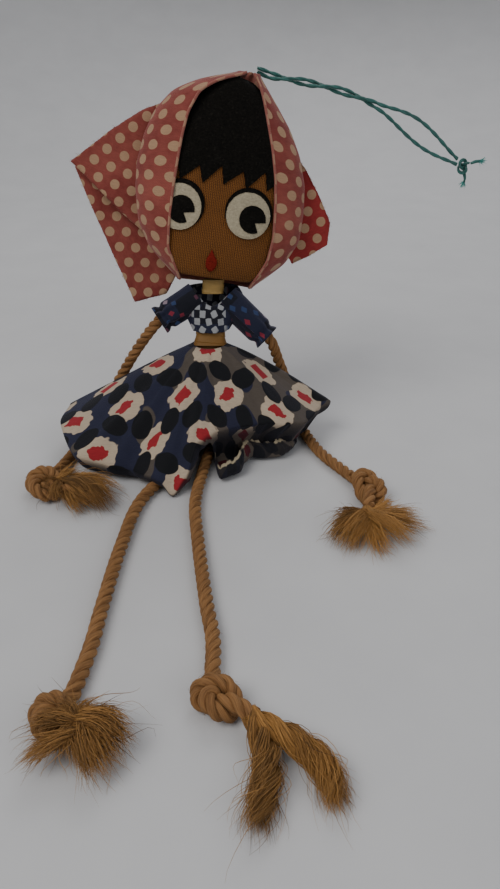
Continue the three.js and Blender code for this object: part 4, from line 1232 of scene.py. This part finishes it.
def make_features():
    """The felt shapes, lowest first: hair, lids, eyes, pupils and mouth."""
    felt_on_face("hair", "hair_felt", fringe_outline(), 0.3, 1.2, BLACK_FELT, "black_felt", 1.3)
    for side, x in EYE_X.items():
        lean = 0.7 if side == "left" else 0.1
        felt_on_face("eye_lid_" + side, "eye_lid_" + side, ring(x + lean, EYE_Z + 1.4, EYE_R + 0.8),
                     0.35, 0.9, BLACK_FELT, "black_felt")
        felt_on_face("eye_white_" + side, "eye_white_" + side, ring(x, EYE_Z, EYE_R), 0.6, 1.3,
                     WHITE_FELT, "white_felt")
        px, pz = (x + 1.2, EYE_Z - 1.2) if side == "left" else (x + 2.4, EYE_Z - 1.6)
        felt_on_face("eye_pupil_" + side, "pupil_" + side, pupil_outline(px, pz), 1.8, 1.0,
                     BLACK_FELT, "black_felt", 0.9)
    felt_on_face("mouth", "mouth_felt", mouth_outline(), 0.3, 1.0, RED_FELT, "red_felt", 0.8)


# ---- headscarf ----
# Height, left side, right side, left front edge and right front edge of the hood.
HOOD = np.array([
    [-2, -18.5, 20, -17.5, 19], [4, -26, 27, -20.5, 22.5], [13, -36, 36.4, -25.2, 26.8],
    [25, -42.6, 42.5, -25.7, 28.2], [40, -45.5, 42.7, -25.5, 27], [53, -46, 41.3, -24.7, 25.2],
    [67, -43.6, 36.6, -23.6, 21.8], [79, -39.4, 29.8, -21.8, 18], [90, -31, 21.2, -17.2, 14.6],
    [97, -18.5, 15.5, -8.5, 12], [101, -7, 12.5, 0, 9.6], [104, 2.5, 10.5, 5.4, 7.8],
])


def hood_sizes(z):
    """The hood's four outline numbers at a height, with the corners of the table smoothed."""
    near = np.linspace(-3, 3, 7)
    spread = np.exp(-(near / 2.4) ** 2)
    spread /= spread.sum()
    return [sum(k * np.interp(z + d, HOOD[:, 0], HOOD[:, c]) for k, d in zip(spread, near))
            for c in (1, 2, 3, 4)]


def hood_place(u, v):
    """The hood, u from the left front edge round the back to the right one, v from chin to peak."""
    z = -2 + 106 * v
    left, right, front_left, front_right = hood_sizes(z)
    mid, w = (left + right) / 2, (right - left) / 2
    k = np.minimum(1, (w / 44) ** 0.42)
    turn_left = np.pi - np.arcsin((mid - front_left) / w)
    turn_right = np.pi - np.arcsin((front_right - mid) / w)
    psi = -turn_left + (turn_left + turn_right) * u
    pleat = 0.9 * np.sin(9 * psi + 3 * v) * np.maximum(0, np.cos(psi))
    forward = np.maximum(0, np.abs(psi) - np.pi / 2) * 2.2
    crease = 0.5 * np.sin(v * 23 + 2 * np.sin(psi * 3)) * np.sin(u * np.pi) * 0.6
    x = mid + np.sin(psi) * w
    y = 2.6 + np.cos(psi) * (15 * k + pleat + crease) - forward * k
    z = z - 2.5 * (1 - k) * (1 - np.cos(psi)) * (v > 0.5)
    return np.stack([x, y, z], -1), psi


def make_hood():
    """The scarf's crown and sides, with a rolled hem down each front edge."""
    v, u = np.meshgrid(np.linspace(0, 1, 130), np.linspace(0, 1, 190), indexing="ij")
    grid, psi = hood_place(u, v)
    grid = grid[::-1]
    uv = np.stack([psi[::-1] * 24, grid[..., 2] * 1.02], -1).reshape(-1, 2)
    points, faces, uv, inside = thick_sheet(grid, SCARF_THICK, uv)
    made = Parts().add(head_out(points), faces, uv, inside).make("scarf_hood", SCARF)
    for side in (0, -1):
        edge = grid[:, side]
        roll = evened(edge, 1.0)
        hem = Parts().add(*relocated(tube(roll, 0.7, 8)), 1.0)
        hem_piece = hem.make("scarf_edge_left" if side == 0 else "scarf_edge_right", SCARF)
        settle(hem_piece, "head", "scarf_dots")
    return made


def relocated(bits):
    """A tube's points moved to where the head leans."""
    points, faces, uv = bits
    return head_out(points), faces, uv


def flat_cut(outline):
    """The size of the cloth that a flat outline is cut from, and its own area, in metres."""
    x, z = np.array(outline, float).T * MM
    area = abs((x * np.roll(z, -1) - z * np.roll(x, -1)).sum()) / 2
    return (float(np.ptp(x)), float(np.ptp(z))), float(area)


def scarf_flap(name, outline, depth, turn=0.0, shift=(0.0, 0.0), cloth=SCARF):
    """A flat folded corner of the scarf, gently waved, behind the hood."""
    flat, tris, edge = filled_outline(outline, 1.6, 0.06)
    x, z = flat[:, 0], flat[:, 1]
    y = depth + 0.9 * np.sin(x * 0.11 + z * 0.05) + 0.5 * np.sin(z * 0.19 - x * 0.07)
    count = len(flat)
    area = np.cross(flat[tris[:, 1]] - flat[tris[:, 0]], flat[tris[:, 2]] - flat[tris[:, 0]])
    tris = np.where((area > 0)[:, None], tris, tris[:, ::-1])
    i = np.arange(len(edge))
    j = (i + 1) % len(edge)
    front = np.stack([x, y - 0.3, z], 1)
    back = np.stack([x, y + 0.3, z], 1)
    c, s = math.cos(turn), math.sin(turn)
    uv = np.stack([x * c - z * s + shift[0], x * s + z * c + shift[1]], 1)
    parts = Parts().add(head_out(np.vstack([front, back])),
                        [tris, tris[:, ::-1] + count, np.stack([j, i, i + count, j + count], 1)],
                        np.vstack([uv, uv]), 0.0)
    rim = np.vstack([edge, edge[:1]])
    depth_at = depth + 0.9 * np.sin(rim[:, 0] * 0.11 + rim[:, 1] * 0.05) \
        + 0.5 * np.sin(rim[:, 1] * 0.19 - rim[:, 0] * 0.07)
    line = head_out(np.stack([rim[:, 0], depth_at, rim[:, 1]], 1))
    flap = parts.make(name, cloth)
    frayed = Parts()
    stray_hairs(frayed, evened(line, 0.8), 0.4, 240, 1.6, 0.05)
    threads = frayed.make(name + "_threads", cloth)
    cut, area = flat_cut(outline)
    return [flap, threads]


def make_scarf():
    """The hood and the three folded corners that stand out behind it."""
    hood = make_hood()
    flaps = [
        scarf_flap("scarf_wing_upper", [[-32, 86], [-46, 79], [-63, 66], [-81, 49.5], [-66, 38],
                                        [-52, 27], [-38, 18], [-33, 50]], 8.0, 0.25),
        scarf_flap("scarf_wing_lower", [[-30, 52], [-79.5, 47.5], [-67, 24.6], [-42, -18.4],
                                        [-25, -11.5], [-18, 6], [-26, 26]], 12.2, 0.9, (3, 2)),
        scarf_flap("scarf_wing_right", [[34, 68], [41, 63], [50, 51], [58.6, 37.5], [59, 26],
                                        [50, 19], [41, 13.5], [32, 26]], 8.0, -0.5, (1, 4), FRESH_SCARF),
    ]
    settle(hood, "head", "scarf_dots", "headscarf")
    for made in sum(flaps, []):
        settle(made, "head", "scarf_dots")


# ---- torso, neck and tape ----
def wound_tape(name, line, half_wide, half_deep, pitch, body, nodes, flare=None):
    """Flat tape wound in a spiral round the two ropes, each turn lapping the last."""
    rows, cols = len(line), 64
    a = np.linspace(0, 2 * np.pi, cols, endpoint=False)[None]
    far = reach_of(line)[:, None]
    pill = 1 / (np.abs(np.cos(a)) ** 3 + np.abs(np.sin(a)) ** 3) ** (1 / 3)
    lap = ((far / pitch + a / (2 * np.pi)) % 1.0) * 0.35
    grow = 0 if flare is None else flare(far / far.max())
    wide = (half_wide + lap + grow) * pill
    deep = (half_deep + lap + grow) * pill
    t, _, _ = frames_along(line)
    side = np.array([1.0, 0, 0])
    back = np.cross(t, side)
    points = line[:, None] + side * (np.cos(a) * wide)[..., None]
    points = points + back[:, None] * (np.sin(a) * deep)[..., None]
    uv = np.stack(np.broadcast_arrays(far, a * half_wide), -1).reshape(-1, 2)
    made = Parts().add(points.reshape(-1, 3), [grid_faces(rows, cols, True)], uv).make(name, TAPE)
    return settle(made, body, "golden_tape", *nodes)


def torso_line(low, high, step=0.5):
    """The body's middle line: upright to the waist, then leaning back and a little sideways."""
    z = np.arange(low, high, step)
    above = np.maximum(0, z - WAIST_Z)
    return np.stack([above * UPPER_SHIFT, above * UPPER_LEAN, z], 1)


def make_torso():
    """The tape round the body and round the neck, and its wider turns at the waist."""
    wound_tape("torso_binding", torso_line(0.1, 63), 7.0, 3.8, 5.0, "torso", ["torso_tape"])
    foot = np.array([1.9, 9.7, 79.0])
    line = evened(np.stack([foot, foot + (NECK_PIVOT - foot) * 1.02]), 0.4)
    wound_tape("neck_binding", line, 5.6, 3.9, 4.5, "neck", ["neck_tape", "neck_rope"])
    collar = torso_line(52.6, 61, 0.3)[::-1]
    wound_tape("waist_collar", collar, 7.7, 4.6, 4.0, "torso", ["waist_binding"],
               flare=lambda s: 2.4 * np.clip(s - 0.35, 0, 1) ** 1.5 + 0.2 * s)


# ---- blouse ----
def bodice_grid():
    """The blouse's body, rows from its neck down to the waist, dipping at the front of the neck."""
    s = np.linspace(0, 1, 60)[:, None]
    a = np.linspace(2 * np.pi, 0, 180, endpoint=False)[None]
    z = BODICE_TOP_Z - BODICE_H * s
    wide = 12.5 + 5.2 * np.sin(np.minimum(1, s * 2.6) * np.pi / 2) - 9.4 * s ** 1.4 + 1.2
    deep = 7.2 - 1.4 * s + 1.2
    dip = np.maximum(0, -np.sin(a)) ** 6 * (1 - s) ** 3 * 8
    ripple = 1 + 0.035 * np.cos(9 * a) * s + 0.02 * np.cos(17 * a + 2) * s
    yc = (z - WAIST_Z) * UPPER_LEAN + 1.7 * (1 - s)
    x = (z - WAIST_Z) * UPPER_SHIFT + np.cos(a) * wide * ripple
    y = yc + np.sin(a) * deep * ripple
    grid = np.stack([x, y, np.broadcast_to(z - dip, x.shape)], -1)
    uv = np.stack([grid[..., 0] * 1.15, grid[..., 2]], -1).reshape(-1, 2)
    return grid, uv


def sleeve_grid(root, end, last, r0, r1, frill, droop):
    """A sleeve from root towards end, r0 to r1 in radius, pinched by its thread before the frill."""
    axis = end - root
    axis = axis / np.linalg.norm(axis)
    across = np.cross(axis, [0, 0, 1.0])
    across /= np.linalg.norm(across)
    up = np.cross(across, axis)
    s = np.linspace(0, last, 50)[:, None]
    a = np.linspace(2 * np.pi, 0, 160, endpoint=False)[None]
    tied_at, tied_half, tied_in = 0.84, 0.06, 0.22
    pinch = 1 - tied_in * np.exp(-((s - tied_at) / tied_half) ** 2)
    wave = 1 + frill * np.clip(s, 0, 2) ** 2 * (np.cos(8 * a) + 0.4 * np.cos(13 * a + 1))
    r = (r0 + (r1 - r0) * s + 0.9) * wave * pinch
    mid = root + (end - root) * s[..., None]
    sag = -droop * s ** 2 * np.maximum(0, -np.sin(a))
    grid = mid + across * (np.cos(a) * r)[..., None] + up * (np.sin(a) * r + sag)[..., None]
    uv = np.stack(np.broadcast_arrays(s * 22 + 14, a * 7.5), -1).reshape(-1, 2)
    return grid, uv


def make_blouse():
    """The bodice, and a sleeve over the top of each arm that follows the arm."""
    grid, uv = bodice_grid()
    made = Parts().add(*thick_sheet(grid, CLOTH, uv, wrap=True)).make("blouse_body", BLOUSE)
    settle(made, "torso", "blouse_print",
           "blouse_bodice", "shoulder_rope", "torso_rope_left", "torso_rope_right")
    ends = {
        "left": (np.array([-7, 10, 77.0]), np.array([-27, 3, 66.0]), 1.0, 6.8, 6.2, 0.1, 0.5),
        "right": (np.array([9, 10, 76.0]), np.array([33, 2.5, 55.0]), 0.94, 6.8, 6.2, 0.05, 1.0),
    }
    for side, sizes in ends.items():
        grid, uv = sleeve_grid(*sizes)
        sleeve = Parts().add(*thick_sheet(grid, CLOTH, uv, wrap=True)).make("sleeve_" + side, BLOUSE)
        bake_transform(sleeve)
        settle(sleeve, None, "blouse_print", "blouse_sleeve_" + side, "sleeve_thread_" + side)


# ---- skirt ----
# Direction in degrees, reach and height of the fold at the skirt's edge, how much cloth is
# turned under there, and, where the hem curls back out below the fold, the reach of its lip.
HEM = np.array([
    [0, 66, 20.5, 9, 0], [5, 50, 19, 12, 0], [10, 38, 14, 14, 0], [18, 35, 8, 12, 0],
    [40, 40, 3.5, 10, 0], [65, 44, 2.2, 8, 0], [90, 45, 2.2, 8, 0], [115, 44, 2.2, 8, 0],
    [140, 43, 3.5, 8, 0], [158, 44, 7, 10, 0], [168, 48, 12, 12, 0], [176, 62, 18, 14, 0],
    [184, 79, 20, 16, 0], [199, 84, 19, 18, 0], [219, 85, 15, 16, 0], [228, 76, 11, 13, 0],
    [236, 69, 8.6, 10, 0], [246, 70, 9.4, 9, 0], [251.5, 71, 9, 8, 0], [257, 72.5, 3.2, 4, 0],
    [261, 66, 9, 8, 0], [265, 51, 21, 12, 0], [271.5, 47, 23, 12, 0], [277, 45, 24, 18, 56],
    [287, 44, 24.5, 18, 53], [296, 44, 24.5, 18, 44], [303, 45, 24.5, 18, 41], [311, 47, 24, 18, 46],
    [321, 54, 22, 18, 51], [332, 59, 20, 18, 51], [343, 60, 20, 16, 49], [352, 62, 20, 12, 0],
    [357, 67.5, 20.5, 9, 0], [360, 66, 20.5, 9, 0],
])


def hem_at(deg):
    """The table's four numbers at each direction, eased between its rows."""
    d = deg % 360
    i = np.clip(np.searchsorted(HEM[:, 0], d, side="right") - 1, 0, len(HEM) - 2)
    a, b = HEM[i], HEM[i + 1]
    f = (d - a[..., 0]) / (b[..., 0] - a[..., 0])
    k = (f * f * (3 - 2 * f))[..., None]
    return (a + (b - a) * k)[..., 1:].T


def through(stations, t):
    """A smooth curve through evenly keyed stations, which may be whole rows of places."""
    stations = np.concatenate([2 * stations[:1] - stations[1:2], stations,
                               2 * stations[-1:] - stations[-2:-1]])
    at = t * (len(stations) - 3)
    i = np.minimum(at.astype(int), len(stations) - 4)
    f = (at - i).reshape(-1, *[1] * (stations.ndim - 1))
    a, b, c, d = (stations[i + k] for k in range(4))
    return 0.5 * (2 * b + (c - a) * f + (2 * a - 5 * b + 4 * c - d) * f ** 2
                  + (3 * b - a - 3 * c + d) * f ** 3)


def bump_at(deg, middle, half):
    """1 at a direction, dying away over half degrees on each side."""
    return np.exp(-(((deg - middle + 180) % 360 - 180) / half) ** 2)


def skirt_cone(m, a, reach, edge):
    """The part of the skirt in full view, m from the waist (0) to the fold at its edge (1)."""
    deg = np.degrees(a) % 360
    fold = 1 + 0.02 * np.cos(11 * a) * np.sin(np.pi * np.minimum(1, m * 1.1))
    r = SKIRT_TOP_R + (reach - SKIRT_TOP_R) * (0.12 * m * m + 0.88 * m) * fold
    z = edge + (SKIRT_TOP_Z - edge) * (1 - m ** 1.25)
    z = z + 1.6 * np.sin(7 * a + 0.6) * m * (1 - m) + 0.5 * np.sin(19 * a + 3 * m) * m * (1 - m)
    z = z + 3.4 * bump_at(deg, 268, 7) * m ** 0.7 * (1.15 - m)
    z = z - 2.4 * bump_at(deg, 254, 6) * m * (1.3 - m)
    z = z + 2.8 * bump_at(deg, 322, 4) * m * (1.2 - m) - 1.8 * bump_at(deg, 306, 8) * m * (1.2 - m)
    z = z + 2.2 * bump_at(deg, 232, 5) * m * (1.2 - m) - 1.4 * bump_at(deg, 217, 9) * m * (1.2 - m)
    return r, z


def skirt_tail(q, a, reach, edge, under, lip):
    """The cloth past the fold: turned under, or curled back out along the floor into a lip."""
    plain = [(0, 0), (0.03, 0.16), (0.12, 0.38), (0.28, 0.56), (0.46, 0.68), (0.66, 0.76),
             (0.84, 0.79), (1.0, 0.76)]
    plain = np.array([[reach - u * under, np.maximum(1.3, edge - w * under)] for u, w in plain])
    low = np.maximum(lip, 30)
    curl = 9.5 + 2.2 * np.sin(5 * a)
    curled = np.array([
        [reach, edge], [reach - 2.6, edge - 4], [reach - 7, edge - 11], [reach - 9, 0 * a + 5],
        [low - 8, 0 * a + 1.7], [low, 0 * a + 2.2], [low + 1.2, 0.7 * curl], [low - 3.4, curl],
    ])
    share = np.clip(lip / 40, 0, 1)
    share = share * share * (3 - 2 * share)
    made = through(plain * (1 - share) + curled * share, q)
    return made[:, 0], made[:, 1]


def make_skirt():
    """The whole skirt as one sheet: the cone in view, then the cloth past the fold at its edge."""
    main_rows, tail_rows, cols = 42, 36, 540
    a = np.linspace(2 * np.pi, 0, cols, endpoint=False)
    reach, edge, under, lip = hem_at(np.degrees(a))
    m = np.linspace(0, 1, main_rows)[:-1, None]
    r, z = skirt_cone(m, a[None], reach[None], edge[None])
    _, z_end = skirt_cone(np.ones((1, 1)), a[None], reach[None], edge[None])
    tail_r, tail_z = skirt_tail(np.linspace(0, 1, tail_rows), a, reach, z_end[0], under, lip)
    ragged = np.convolve(np.tile(rng.normal(0, 1.5, cols), 3), np.ones(4) / 4, "same")[cols:2 * cols]
    near_hem = np.linspace(0, 1, tail_rows)[:, None] ** 6 * (lip > 10)
    tail_z = tail_z + ragged * near_hem
    tail_r = tail_r + np.roll(ragged, 9) * near_hem
    r = np.vstack([r, tail_r])
    z = np.maximum(np.vstack([z, tail_z]), 0.7)
    grid = np.stack([r * np.cos(a), r * np.sin(a), z], -1)
    far = np.cumsum(np.vstack([np.zeros((1, cols)), np.hypot(np.diff(r, axis=0), np.diff(z, axis=0))]), 0)
    cut = 12 + far * 0.96
    uv = np.stack([cut * np.cos(a), cut * np.sin(a)], -1).reshape(-1, 2)
    points, faces, uv, _ = thick_sheet(grid, CLOTH, uv, wrap=True)
    past = np.vstack([np.zeros((main_rows - 1, cols)),
                      np.repeat(np.linspace(0, 1, tail_rows)[:, None], cols, 1)])
    # Painted shade: the printed face past the fold is darkened quickly, up to 0.92, towards near-black; the
    # reverse face gets the full tone of 1.
    shade = np.clip(past * 4, 0, 0.92)
    torn = np.clip(1.1 + ragged * 0.9, 0, 1.6) * (past > 0.95) * (lip > 10)
    both = np.concatenate([(shade + torn).ravel(), (np.maximum(shade, 1) + torn).ravel()])
    made = Parts().add(points, faces, uv, both).make("skirt_cloth", SKIRT)
    settle(made, "torso", "skirt_print", "skirt")


def make_floor():
    """A pale floor that rises all round into a plain backdrop, with no line between them."""
    flat_r, bend_wide, bend_high, sides = 700, 1300, 1500, 96
    turn = np.linspace(0, np.pi / 2, 30)
    r = np.concatenate([[0.0], flat_r + bend_wide * np.sin(turn)])[:, None]
    z = np.concatenate([[0.0], bend_high * (1 - np.cos(turn))])[:, None]
    a = np.linspace(0, 2 * np.pi, sides, endpoint=False)[None]
    points = np.stack(np.broadcast_arrays(r * np.cos(a), r * np.sin(a), z), -1).reshape(-1, 3)
    floor = piece("floor", points, [grid_faces(len(r), sides, True)], floor_material(), points[:, :2])


make_camera()
make_hanging_loop()
for limb_name, limb_facts in LIMBS.items():
    make_limb(limb_name, limb_facts)
make_face()
make_features()
make_scarf()
make_torso()
make_blouse()
make_skirt()
make_studio()
make_floor()
